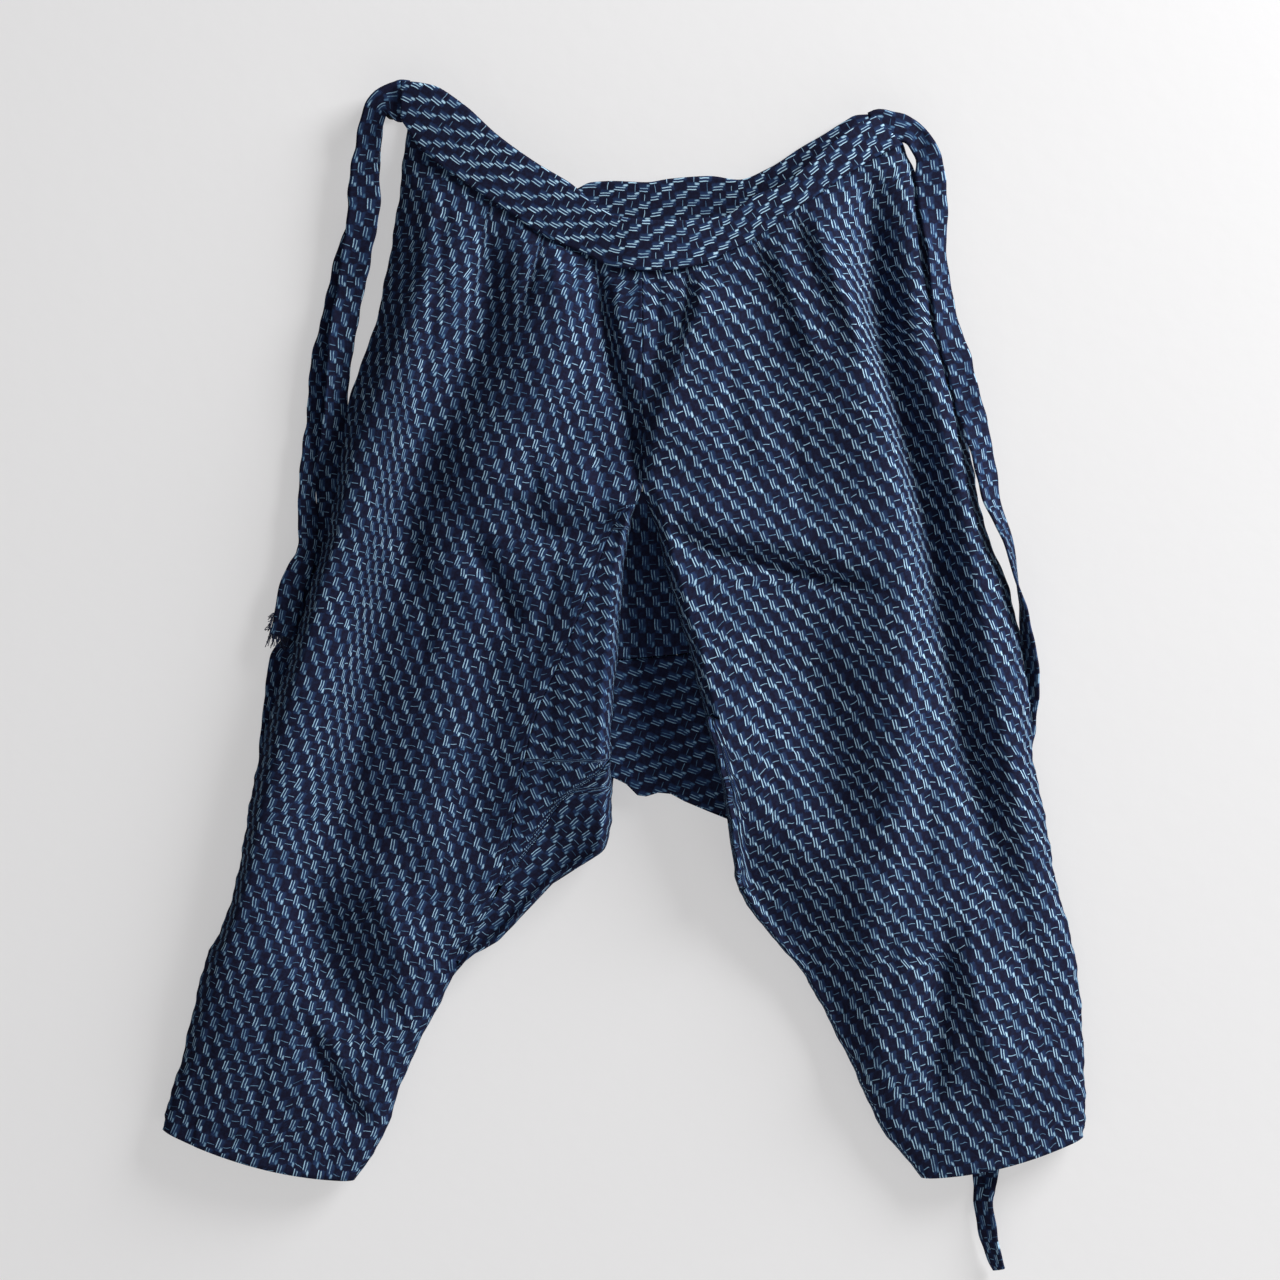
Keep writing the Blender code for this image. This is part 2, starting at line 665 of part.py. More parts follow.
def crotch_row(row):
    """One row of the sheet between the legs."""
    last_row = CROTCH_ROWS[-1]
    fan = max(0.0, (row - CROTCH_FAN_ROW) / (last_row - CROTCH_FAN_ROW))
    left_row = min(row, CROTCH_FAN_ROW) + fan * (CROTCH_LEFT_END - CROTCH_FAN_ROW)
    left_x, right_x = LEFT.inner(left_row) - CROTCH_TUCK, RIGHT.inner(row) + CROTCH_TUCK
    left_z, right_z = LEFT.z(left_row, LEFT.inner(left_row)), RIGHT.z(row, RIGHT.inner(row))
    (first_x, first_z), (last_x, last_z) = CROTCH_EDGE.rows[0], CROTCH_EDGE.rows[-1]
    edge_like = max(0.0, (row - CROTCH_SPLIT) / (last_row - CROTCH_SPLIT)) ** 2
    dip = CROTCH_DIP * min(1.0, (row - CROTCH_ROW) / 2)
    points = []
    for edge_x, edge_z in CROTCH_EDGE.rows:
        part = (edge_x - first_x) / (last_x - first_x)
        x = left_x + (right_x - left_x) * part
        lift = edge_z - first_z - (last_z - first_z) * part
        z = left_z + (right_z - left_z) * part + lift * edge_like
        level = left_row + (row - left_row) * part
        parted = FORM.at("parted", level)
        joined = FORM.at("brow", level) - CROTCH_BEHIND_FORK
        depth = joined + (FORM.at("inner_edge", level) - joined) * parted - CROTCH_BEHIND_LEGS
        inside = min(1.0, max(0.0, (part - CROTCH_SIDES) / (1 - 2 * CROTCH_SIDES)))
        points.append((x, z, max(depth - dip * math.sin(math.pi * inside), CROTCH_LEAST)))
    return points


def crotch():
    cloth("crotch_upper", [crotch_row(row) for row in CROTCH_ROWS if row < CROTCH_SPLIT], CLOTH)
    cloth("crotch_lower", [crotch_row(row) for row in CROTCH_ROWS if row > CROTCH_SPLIT], CLOTH)


def gusset_back():
    """The gusset behind the legs, column by column: from the back panels' edge down to the fold."""
    columns = []
    for row in GUSSET_BACK_LEFT_ROWS:
        columns.append(gusset_back_column(LEFT, -1, row))
    edge = CROTCH_EDGE.rows[1:-1] + (GUSSET_BACK_LAST,)
    apex = len(edge) // 2
    for n, (x, z) in enumerate(edge):
        side_z = edge[0][1] if n < apex else edge[-1][1]
        reach = (BACK_APEX - side_z) * BACK_SPREAD * (n - apex) / apex
        columns.append(((CENTRE_X + reach, BACK_APEX - abs(reach) / BACK_SPREAD - SEAM), (x, z),
                        CROTCH_LEAST - CLOTH - SEAM))
    for row in GUSSET_BACK_RIGHT_ROWS:
        columns.append(gusset_back_column(RIGHT, 1, row))
    ways = [(flat, 0.0, 0.0) for flat in GUSSET_BACK_FLATS]
    ways += [(1.0, folded, 1 - rise) for folded, rise, _ in TURN[::-1]]
    grid = []
    for flat, folded, turned in ways:
        line = []
        for (top_x, top_z), (low_x, low_z), end in columns:
            length = math.dist((top_x, top_z), (low_x, low_z))
            roll = min(BACK_ROLL / length, 0.5)
            part = flat * (1 - roll) if flat < 1 else 1 - folded * roll
            depth = BACK_DEPTH + (end - BACK_DEPTH) * turned
            line.append((top_x + (low_x - top_x) * part, top_z + (low_z - top_z) * part, depth))
        grid.append(line)
    cloth("gusset_back", grid, CLOTH, to_wall=True)


def gusset_back_column(leg, side, row):
    """One level column of the gusset behind, from a back panel's edge to that leg's inner fold."""
    z = leg.z(row, leg.inner(row))
    top = CENTRE_X + side * ((BACK_APEX - z) * BACK_SPREAD - SEAM / 2)
    return (top, z), (leg.inner(row), z), FORM.at("inner_edge", row) - SEAM


def strap(name, table):
    """A flat strap along its middle line, turned about that line as it hangs."""
    spots = [(row[0], row[1]) for row in table.rows]
    gone = np.concatenate([[0.0], np.cumsum([math.dist(a, b) for a, b in zip(spots, spots[1:])])])
    count = max(len(spots), round(gone[-1] / STRAP_STEP) + 1)
    places = np.linspace(0.0, len(spots) - 1, count)
    sizes = [[table.at(column, p) for column in table.columns] for p in places]
    grid = []
    for n, (x, z, depth, turn, width) in enumerate(sizes):
        before, after = sizes[max(0, n - 1)], sizes[min(count - 1, n + 1)]
        run = math.dist(before[:2], after[:2])
        tx, tz = (after[0] - before[0]) / run, (after[1] - before[1]) / run
        flat, lean = math.cos(math.radians(turn)), math.sin(math.radians(turn))
        row = []
        for column in STRAP_COLUMNS:
            off = column * width
            row.append((x - tz * off * flat, z + tx * off * flat, depth + off * lean))
        grid.append(row)
    cloth(name, grid, STRAP)


def hooks():
    for name, (x, z) in PEG_PLACES.items():
        data = bpy.data.meshes.new(name)
        mesh = bmesh.new()
        points = [mesh.verts.new((radius * MM, 0.0, out * MM)) for radius, out in PEG]
        points.insert(0, mesh.verts.new((0.0, 0.0, PEG[0][1] * MM)))
        points.append(mesh.verts.new((0.0, 0.0, PEG[-1][1] * MM)))
        for a, b in zip(points, points[1:]):
            mesh.edges.new((a, b))
        mesh.to_mesh(data)
        mesh.free()
        peg = bpy.data.objects.new(name, data)
        PARTS.objects.link(peg)
        turning = peg.modifiers.new("turning", "SCREW")
        turning.steps = PEG_SIDES
        turning.render_steps = PEG_SIDES
        turning.use_merge_vertices = True
        turning.merge_threshold = 0.00001
        turning.use_normal_calculate = True
        peg.rotation_euler = (math.pi / 2, 0.0, 0.0)
        peg.location = place(x, z, 0.0)
        data.materials.append(material(name, BLACK_IRON, 0.5, 1.0))


for old in list(bpy.data.objects):
    bpy.data.objects.remove(old, do_unlink=True)
PARTS = bpy.data.collections.new("monpe")
bpy.context.scene.collection.children.link(PARTS)
front_panels()
gusset_fronts()
back_panels()
waistbands()
crotch()
gusset_back()
strap("tie_left_front", TIE_LEFT_FRONT)
strap("tie_left_back", TIE_LEFT_BACK)
strap("tie_right", TIE_RIGHT)
hooks()
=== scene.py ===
# Monpe, Japanese work trousers of indigo kasuri cotton, hung flat on a wall from two pegs.
#
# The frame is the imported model's: +X to the viewer's right, +Y into the wall, +Z up, in metres, with the
# wall in the plane y = 0. Left and right are the viewer's. Sizes are in millimetres, x and z from a drafting
# point near the waist, and a depth is a distance out from the wall.

import math
from functools import partialmethod

import bpy
import numpy as np
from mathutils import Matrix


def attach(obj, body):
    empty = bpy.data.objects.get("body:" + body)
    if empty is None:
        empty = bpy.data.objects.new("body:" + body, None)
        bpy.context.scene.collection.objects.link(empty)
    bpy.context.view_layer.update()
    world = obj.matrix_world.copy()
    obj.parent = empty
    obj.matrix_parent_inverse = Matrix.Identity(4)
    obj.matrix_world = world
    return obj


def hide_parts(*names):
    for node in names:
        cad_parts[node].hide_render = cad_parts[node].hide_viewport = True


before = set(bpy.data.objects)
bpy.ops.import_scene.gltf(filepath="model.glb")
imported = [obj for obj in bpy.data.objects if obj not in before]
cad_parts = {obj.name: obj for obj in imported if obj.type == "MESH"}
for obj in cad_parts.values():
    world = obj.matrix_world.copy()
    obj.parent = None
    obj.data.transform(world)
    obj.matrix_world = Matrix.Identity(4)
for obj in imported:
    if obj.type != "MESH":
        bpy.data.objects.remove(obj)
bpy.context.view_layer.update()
MM = 0.001

# ROOM. The garment hangs on a plain pale wall over a plain pale floor, in soft daylight that comes from
# the upper right. The camera looks straight at the wall, and its picture is 1.024 m wide at the cloth.

VIEW_CENTRE = (-0.0038, -0.4146)
VIEW_WIDTH = 1.024
VIEW_PLANE = 0.014
CAMERA_DISTANCE = 2.4
SENSOR = 36.0
WALL_SIZE = 5.0
WALL_PLACE = (0, 0.001, -0.4)
WALL_COLOUR = (0.44, 0.44, 0.445, 1.0)
WALL_GLOW = (0.985, 0.97, 0.965, 1.0)
WALL_GLOW_STRENGTH = 0.45
FLOOR_LEVEL = -1.55
FLOOR_COLOUR = (0.72, 0.72, 0.72, 1.0)
LIGHT_AIM = (0.0, 0.0, -0.45)
SKY_COLOUR = (0.93, 0.95, 1.0, 1.0)
SKY_STRENGTH = 0.16


class Wire:
    """A value on its way through a material, which can be reckoned with like a number."""

    def __init__(self, net, socket):
        self.net = net
        self.socket = socket

    def maths(self, operation, other=None):
        values = {0: self} if other is None else {0: self, 1: other}
        return self.net.node("ShaderNodeMath", {"operation": operation}, values)

    __add__ = __radd__ = partialmethod(maths, "ADD")
    __sub__ = partialmethod(maths, "SUBTRACT")
    __mul__ = __rmul__ = partialmethod(maths, "MULTIPLY")
    __truediv__ = partialmethod(maths, "DIVIDE")
    __mod__ = partialmethod(maths, "FLOORED_MODULO")
    __gt__ = partialmethod(maths, "GREATER_THAN")
    __abs__ = partialmethod(maths, "ABSOLUTE")
    floor = partialmethod(maths, "FLOOR")
    least = partialmethod(maths, "MINIMUM")
    most = partialmethod(maths, "MAXIMUM")

    def __rsub__(self, other):
        return (self * -1.0) + other

    def held(self):
        """The value kept between 0 and 1."""
        return self.least(1.0).most(0.0)


class Net:
    """One material and the nodes that make it."""

    def __init__(self, name):
        self.material = bpy.data.materials.new(name)
        self.material.use_nodes = True
        self.tree = self.material.node_tree
        self.shader = self.tree.nodes["Principled BSDF"]

    def node(self, kind, settings=None, inputs=None, output=0):
        made = self.tree.nodes.new(kind)
        for key, value in (settings or {}).items():
            setattr(made, key, value)
        for key, value in (inputs or {}).items():
            if isinstance(value, Wire):
                self.tree.links.new(value.socket, made.inputs[key])
            else:
                made.inputs[key].default_value = value
        return Wire(self, made.outputs[output])

    def feed(self, socket, value):
        if isinstance(value, Wire):
            self.tree.links.new(value.socket, self.shader.inputs[socket])
        else:
            self.shader.inputs[socket].default_value = value

    def mixed(self, part, first, second):
        """A colour between two colours."""
        inputs = {0: part, 6: first, 7: second}
        return self.node("ShaderNodeMix", {"data_type": "RGBA"}, inputs, output=2)

    def parts(self, vector):
        """The three numbers of a vector."""
        split = self.tree.nodes.new("ShaderNodeSeparateXYZ")
        self.tree.links.new(vector.socket, split.inputs[0])
        return [Wire(self, split.outputs[k]) for k in range(3)]

    def mottle(self, scale, detail):
        """Soft spots that are fixed to the piece."""
        where = self.node("ShaderNodeTexCoord", output="Object")
        return self.node("ShaderNodeTexNoise", {}, {"Vector": where, "Scale": scale, "Detail": detail})

    def chance(self, dimensions, inputs, output=0):
        """A number, or a colour of three numbers, drawn for each place."""
        return self.node("ShaderNodeTexWhiteNoise", {"noise_dimensions": dimensions}, inputs, output)

    def relief(self, strength, distance, height):
        inputs = {"Strength": strength, "Distance": distance, "Height": height}
        self.feed("Normal", self.node("ShaderNodeBump", {}, inputs))


def plain_square(name, finish, place, turn=0.0):
    """A plain stretch of wall or floor."""
    bpy.ops.object.select_all(action="DESELECT")
    bpy.ops.mesh.primitive_plane_add(size=WALL_SIZE, location=place, rotation=(turn, 0, 0))
    square = bpy.context.object
    square.name = name
    square.data.materials.append(finish.material)
    return square


# The wall's paint is seen from the front alone, so that it doesn't hide the garment from behind.
paint = Net("wall_paint")
paint.feed("Base Color", WALL_COLOUR)
paint.feed("Emission Color", WALL_GLOW)
paint.feed("Emission Strength", WALL_GLOW_STRENGTH)
paint.feed("Roughness", 0.95)
paint.feed("Specular IOR Level", 0.1)
paint.relief(0.2, 0.001, paint.mottle(60.0, 4.0))
behind = paint.node("ShaderNodeNewGeometry", output="Backfacing")
clear = paint.node("ShaderNodeBsdfTransparent")
seen = paint.node("ShaderNodeMixShader", {}, {0: behind, 1: Wire(paint, paint.shader.outputs[0]), 2: clear})
paint.tree.links.new(seen.socket, paint.tree.nodes["Material Output"].inputs["Surface"])
wall = plain_square("wall", paint, WALL_PLACE, math.pi / 2)
wall.visible_diffuse = False
wall.visible_glossy = False
wall.visible_shadow = False

pale = Net("floor_paint")
pale.feed("Base Color", FLOOR_COLOUR)
pale.feed("Roughness", 0.8)
floor = plain_square("floor", pale, (0, -WALL_SIZE / 2, FLOOR_LEVEL))

eye = bpy.data.cameras.new("camera")
eye.sensor_width = SENSOR
eye.lens = SENSOR * CAMERA_DISTANCE / VIEW_WIDTH
camera = bpy.data.objects.new("camera", eye)
bpy.context.scene.collection.objects.link(camera)
camera.location = (VIEW_CENTRE[0], -CAMERA_DISTANCE - VIEW_PLANE, VIEW_CENTRE[1])
camera.rotation_euler = (math.pi / 2, 0, 0)
bpy.context.scene.camera = camera

for name, place, size, power in (
    ("light_window", (2.1, -1.05, 1.25), 1.5, 122.0),
    ("light_behind", (0.3, 1.9, 0.8), 1.6, 40.0),
):
    lamp = bpy.data.lights.new(name, "AREA")
    lamp.size = size
    lamp.energy = power
    holder = bpy.data.objects.new(name, lamp)
    bpy.context.scene.collection.objects.link(holder)
    holder.location = place
    way = [a - b for a, b in zip(LIGHT_AIM, place)]
    holder.rotation_euler = (
        math.atan2(math.hypot(way[0], way[1]), -way[2]), 0.0, math.atan2(-way[0], way[1]))

world = bpy.data.worlds.new("room_light")
world.use_nodes = True
world.node_tree.nodes["Background"].inputs[0].default_value = SKY_COLOUR
world.node_tree.nodes["Background"].inputs[1].default_value = SKY_STRENGTH
bpy.context.scene.world = world
bpy.context.scene.view_settings.view_transform = "Standard"

# FRONT PANELS. Two panels of narrow hand-loom cotton, joined at the centre seam and pleated into the
# waistband. Each is one sheet, turned back along the leg's side and, below the crotch, along its inner edge.

CLOTH = 1.2
SEAM = 0.3
CENTRE_X = 5.0
ORIGIN = (7.0, -3.0)
HEM_ROW = 19.0
PANEL_ROWS = 270
EDGE_ROLL = 10.0
FACE_OVER_EDGE = 8.0
ROLL_COLUMNS = 8
# Folds die out this far from a turned edge, and above this row they don't stand out under the waistband.
CALM = 12.0
PLEAT_ROW = 0.7


def steady(places, values, wanted):
    """A smooth line through values that never swings past them."""
    places, values = np.asarray(places, float), np.asarray(values, float)
    slopes = np.diff(values) / np.diff(places)
    before, after = slopes[:-1], slopes[1:]
    turns = before * after > 0
    middle = np.where(turns, 2 * before * after / np.where(turns, before + after, 1.0), 0.0)
    tangents = np.concatenate([slopes[:1], middle, slopes[-1:]])
    wanted = np.clip(wanted, places[0], places[-1])
    k = np.clip(np.searchsorted(places, wanted, side="right") - 1, 0, len(places) - 2)
    run = places[k + 1] - places[k]
    t = (wanted - places[k]) / run
    return (
        values[k] * (1 + 2 * t) * (1 - t) ** 2
        + tangents[k] * run * t * (1 - t) ** 2
        + values[k + 1] * t ** 2 * (3 - 2 * t)
        + tangents[k + 1] * run * t ** 2 * (t - 1)
    )


class Table:
    """Rows of sizes under named columns, read at any place between two rows.

    A row that stops short goes on with the sizes of the row above it."""

    def __init__(self, columns, rows, first=0):
        self.columns = columns.split()
        full = [rows[0]]
        for row in rows[1:]:
            full.append(row + full[-1][len(row):])
        self.rows = np.array(full, float)
        self.places = first + np.arange(len(rows))

    def all(self, column):
        return self.rows[:, self.columns.index(column)]

    def at(self, column, place):
        return steady(self.places, self.all(column), place)

    def over(self, along, column, place):
        """One column as a line over another one."""
        return np.interp(place, self.all(along), self.all(column))


LEFT_OUTLINE = Table("outer_x outer_z inner_x inner_z sag", (
    (-183, -15, CENTRE_X, -127, 0),
    (-189, -66, CENTRE_X, -160),
    (-197, -115, CENTRE_X, -194),
    (-209, -169, CENTRE_X, -229),
    (-230, -228, CENTRE_X, -262),
    (-238, -280, CENTRE_X, -293),
    (-245, -323, -4, -325),
    (-262, -380, -11, -381),
    (-276, -430, -15, -434),
    (-293, -478, -19, -480),
    (-302, -514, -20, -514),
    (-309, -546, -19, -546),
    (-314, -578, -22, -579),
    (-320, -610, -67, -613),
    (-331, -646, -109, -657),
    (-344, -672, -138, -676),
    (-353, -707, -160, -714),
    (-364, -754, -186, -768, 2),
    (-375, -789, -202, -814, 4),
    (-379, -809, -225, -850, 8),
))
RIGHT_OUTLINE = Table("outer_x outer_z inner_x inner_z sag", (
    (213, -22, CENTRE_X, -127, 0),
    (228, -62, CENTRE_X, -160),
    (235, -112, CENTRE_X, -194),
    (244, -166, CENTRE_X, -229),
    (257, -217, CENTRE_X, -262),
    (269, -276, CENTRE_X, -293),
    (278, -322, 15, -326),
    (299, -378, 28, -378),
    (309, -424, 43, -428),
    (316, -478, 55, -478),
    (318, -512, 64, -514),
    (325, -546, 71, -546),
    (331, -579, 76, -580),
    (336, -610, 81, -614),
    (346, -646, 101, -646),
    (353, -680, 132, -682),
    (357, -720, 152, -717),
    (359, -763, 176, -765, 2),
    (360, -794, 195, -806, 3),
    (358, -815, 229, -848, 6),
))
# Depths at the same sections. Over the inner thighs they are up to 8 mm fuller than the solids'.
FORM = Table("edge crown brow inner_edge parted waist slit", (
    (17, 38, 44, 44, 0, 1.0, 10),
    (16, 40, 45, 45, 0, 0.8, 8),
    (15, 41, 46, 46, 0, 0.6, 6),
    (14, 42, 46, 46, 0, 0.35, 3.5),
    (13, 42, 45, 45, 0, 0.15, 1.5),
    (12, 41, 46, 46, 0, 0, 0),
    (12, 41, 51, 23, 1),
    (12, 41, 54, 20),
    (12, 41, 56, 19),
    (12, 40, 56, 17),
    (12, 40, 54, 14),
    (12, 39, 50, 12),
    (12, 39, 43),
    (12, 38, 35),
    (12, 37, 29),
    (12, 36, 24),
    (12, 35, 22),
    (12, 33, 20),
    (12, 30, 19),
    (12, 28, 18),
))
LEFT_SEAMS = Table("split under", (
    (17, 17),
    (-16, -4),
    (-38, -11),
    (-60, -15),
    (-80, -19),
    (-89, -23),
    (-95, -59),
    (-101, -81),
    (-109, -106),
    (-131, -131),
    (-142, -142),
), first=5)
STRIP = Table("width", ((4,), (5.6,), (6.4,), (6,), (4,)), first=9)
FRONT_BAND = Table("top_x top_z low_x low_z", (
    (-187, 27, -187, -4),
    (-171, 25, -179, -16),
    (-159, 22, -173, -26),
    (-135, 6, -162, -36),
    (-109, -18, -138, -54),
    (-77, -41, -102, -78),
    (-52, -56, -73, -98),
    (-28, -76, -41, -112),
    (-9, -84, -17, -123),
    (15, -86, 13, -126),
    (41, -86, 37, -124),
    (54, -84, 58, -118),
    (70, -82, 72, -111),
    (94, -66, 106, -92),
    (118, -56, 131, -74),
    (139, -38, 154, -58),
    (158, -22, 178, -42),
    (174, -9, 195, -32),
    (190, -1, 212, -24),
))
BACK_BAND = Table("top_x top_z low_x low_z", (
    (-182, 22, -184, -26),
    (-165, 16, -166, -40),
    (-141, 3, -140, -58),
    (-109, -23, -110, -76),
    (-77, -44, -78, -89),
    (-52, -56, -52, -94),
    (-36, -50, -36, -97),
    (-18, -49, -16, -99),
    (8, -50, 8, -100),
    (28, -47, 28, -99),
    (59, -45, 59, -96),
    (82, -48, 82, -92),
    (106, -39, 106, -84),
    (131, -23, 131, -71),
    (150, -12, 150, -62),
    (166, -2, 166, -53),
    (178, 4, 180, -46),
    (199, 5, 201, -38),
))
BAND_LAP = 4.0

# The folds: height, how wide it is to the left of its line (or below a level one) and to the right (or
# above), how sharp it is, and its line. A hollow has a height below zero.
MAIN_FOLDS = (
    (15, 16, 40, 2, (
        (-158, -59), (-166, -131), (-192, -203), (-214, -254), (-242, -346), (-272, -469), (-298, -571),
        (-320, -643), (-337, -725), (-347, -786))),
    (-12, 34, 44, 2, ((-178, -330), (-202, -400), (-214, -469), (-238, -571), (-258, -640))),
    (-11, 20, 22, 2, ((-115, -84), (-122, -162), (-138, -213), (-163, -259), (-183, -310), (-186, -346))),
    (13, 42, 28, 2, ((-58, -98), (-64, -172), (-75, -223), (-95, -259), (-120, -295), (-135, -336))),
    (-10, 16, 5, 1.6, ((-32, -124), (-23, -162), (-15, -203), (0, -254), (2, -295))),
    (-7, 16, 7, 1.6, ((-84, -327), (-53, -334), (-28, -323), (-13, -311))),
    (7, 12, 34, 2, ((-78, -306), (-28, -300))),
    (-8, 10, 9, 1.6, ((-130, -336), (-115, -366), (-101, -397), (-91, -412))),
    (-6, 16, 10, 2, ((-178, -325), (-175, -372))),
    (-8, 26, 34, 2, ((-110, -410), (-122, -520), (-140, -600))),
    (-15, 45, 30, 2, ((-150, -694), (-109, -653), (-58, -602), (-22, -571))),
    (-15, 22, 28, 2, ((-258, -622), (-243, -674), (-212, -730))),
    (8, 18, 20, 2, ((-202, -612), (-181, -684))),
    (-9, 9, 7, 1.5, ((-263, -725), (-237, -776), (-212, -807))),
    (11, 12, 50, 2, ((61, -130), (39, -192), (21, -244), (11, -284))),
    (-6, 6, 6, 1.5, ((3, -235), (2, -305))),
    (7, 8, 14, 1.6, ((108, -104), (128, -162), (147, -203))),
    (7, 8, 12, 1.6, ((140, -80), (150, -118), (168, -160), (180, -200))),
    (13, 40, 14, 2, (
        (150, -69), (167, -141), (188, -213), (206, -295), (212, -366), (212, -479), (206, -571),
        (192, -640))),
    (10, 26, 44, 2, ((190, -590), (186, -663), (188, -725), (196, -790))),
    (-20, 13, 13, 2, (
        (186, -60), (190, -120), (196, -180), (214, -244), (233, -315), (247, -397), (261, -479),
        (274, -545), (290, -620))),
    (11, 14, 20, 2, (
        (218, -60), (222, -130), (226, -190), (243, -244), (261, -310), (277, -392), (291, -474),
        (303, -535), (316, -602), (328, -660))),
    (-9, 10, 5, 1.5, ((29, -331), (65, -346), (106, -356), (147, -366), (193, -379))),
    (7, 12, 38, 2, ((32, -312), (65, -328), (106, -338), (147, -348), (188, -360))),
    (-10, 34, 28, 2, ((131, -418), (152, -520), (167, -585))),
    (-12, 20, 35, 2, ((80, -571), (106, -633), (147, -684), (177, -755))),
    (-12, 16, 9, 1.8, ((247, -655), (242, -745), (237, -791))),
    (9, 10, 28, 2, ((266, -670), (275, -725), (295, -790))),
)
# Smaller creases.
CREASES = (
    (-3.5, 5, 4, 1.4, ((-73, -98), (-80, -125), (-90, -160))),
    (2.0, 4, 6, 2, ((-62, -104), (-66, -150))),
    (-2.2, 4, 4, 1.5, ((-46, -112), (-48, -150))),
    (-2.4, 4, 4, 1.5, ((-30, -120), (-24, -160), (-16, -230))),
    (1.6, 4, 6, 2, ((-16, -124), (-12, -190))),
    (-2.4, 4, 4, 1.5, ((16, -126), (18, -180), (10, -220))),
    (-3.0, 4, 4, 1.5, ((37, -124), (41, -145), (32, -185))),
    (1.6, 5, 5, 2, ((50, -120), (52, -170))),
    (-3.2, 5, 4, 1.4, ((92, -106), (104, -125), (118, -155))),
    (-3.0, 5, 4, 1.4, ((124, -84), (138, -115), (156, -160))),
    (1.6, 5, 6, 2, ((112, -92), (132, -140))),
    (-1.8, 5, 5, 2, ((176, -56), (186, -96), (196, -140))),
    (-2.2, 6, 6, 2, ((-150, -60), (-158, -150), (-172, -240))),
    (1.4, 8, 8, 2, ((-130, -80), (-140, -200))),
    (-1.6, 7, 7, 2, ((-118, -90), (-118, -180))),
    (-1.6, 8, 6, 2, ((-165, -345), (-120, -352))),
    (1.6, 8, 10, 2, ((-170, -330), (-125, -336))),
    (-2.0, 7, 5, 1.6, ((-62, -345), (-70, -400), (-84, -450))),
    (1.6, 9, 9, 2, ((-44, -350), (-50, -430))),
    (-2.0, 7, 6, 2, ((-164, -385), (-170, -440))),
    (1.4, 9, 9, 2, ((-190, -420), (-215, -520))),
    (-1.8, 7, 7, 2, ((-66, -440), (-72, -520), (-66, -590))),
    (-1.8, 5, 5, 1.6, ((-124, -650), (-98, -628))),
    (1.8, 8, 9, 2, ((-150, -560), (-180, -640))),
    (-1.6, 8, 8, 2, ((-200, -450), (-235, -560))),
    (-2.0, 5, 5, 1.6, ((-200, -692), (-182, -738))),
    (1.6, 6, 7, 2, ((-240, -740), (-216, -792))),
    (-1.6, 6, 6, 2, ((-290, -720), (-305, -800))),
    (-1.4, 6, 6, 2, ((-330, -700), (-352, -790))),
    (-2.0, 5, 5, 1.6, ((-225, -790), (-250, -838))),
    (-1.8, 6, 6, 2, ((30, -348), (60, -368), (130, -384))),
    (1.6, 8, 8, 2, ((90, -210), (104, -290))),
    (-1.8, 7, 7, 2, ((120, -235), (135, -320))),
    (-1.6, 7, 7, 2, ((72, -190), (80, -290))),
    (-1.8, 8, 7, 2, ((92, -400), (104, -500), (116, -570))),
    (-2.0, 6, 6, 1.6, ((222, -180), (236, -266), (250, -346))),
    (-1.6, 6, 6, 2, ((190, -90), (206, -150))),
    (1.6, 6, 8, 2, ((232, -96), (240, -160))),
    (-2.0, 6, 6, 1.6, ((120, -610), (148, -672))),
    (1.6, 8, 8, 2, ((186, -700), (206, -800))),
    (-1.6, 7, 7, 2, ((200, -640), (206, -720))),
    (-1.8, 6, 6, 2, ((300, -640), (322, -720))),
    (-1.8, 6, 6, 1.6, ((304, -744), (312, -790))),
    (-1.6, 6, 6, 2, ((232, -540), (230, -640))),
    (-1.5, 3, 3, 1.6, ((-370, -795), (-300, -824), (-226, -838))),
    (-1.5, 3, 3, 1.6, ((354, -801), (290, -826), (228, -836))),
)


def gone_along(runs):
    """How far along a line each of its points is, from the lengths between them."""
    return np.concatenate([[0.0], np.cumsum(runs)])


def lifted(x, z, folds):
    """How far soft folds lift the cloth at x, z. Each fades out towards the ends of its line."""
    total = np.zeros_like(x)
    for height, left, right, sharp, points in folds:
        line = np.array(points, float)
        runs = np.hypot(*np.diff(line, axis=0).T)
        gone = gone_along(runs)
        nearest = np.full_like(x, np.inf)
        reached, side = np.zeros_like(x), np.zeros_like(x)
        for k, run in enumerate(runs):
            dx, dz = line[k + 1] - line[k]
            share = np.clip(((x - line[k, 0]) * dx + (z - line[k, 1]) * dz) / run ** 2, 0.0, 1.0)
            px, pz = x - line[k, 0] - share * dx, z - line[k, 1] - share * dz
            off = np.hypot(px, pz)
            closer = off < nearest
            reached = np.where(closer, (gone[k] + share * run) / gone[-1], reached)
            side = np.where(closer, pz * dx - px * dz, side)
            nearest = np.minimum(off, nearest)
        width = np.where(side > 0, right, left)
        fade = np.minimum(1.0, np.minimum(0.35 + reached * 4, (1.0 - reached) * 4 + 0.15))
        total += height * fade * np.exp(-(nearest / width) ** sharp)
    return total


def wobble(row, phase):
    """The small unevenness of an edge."""
    return 0.5 * np.sin(7.1 * row + phase) + 0.3 * np.sin(17.3 * row + 2.1 * phase)


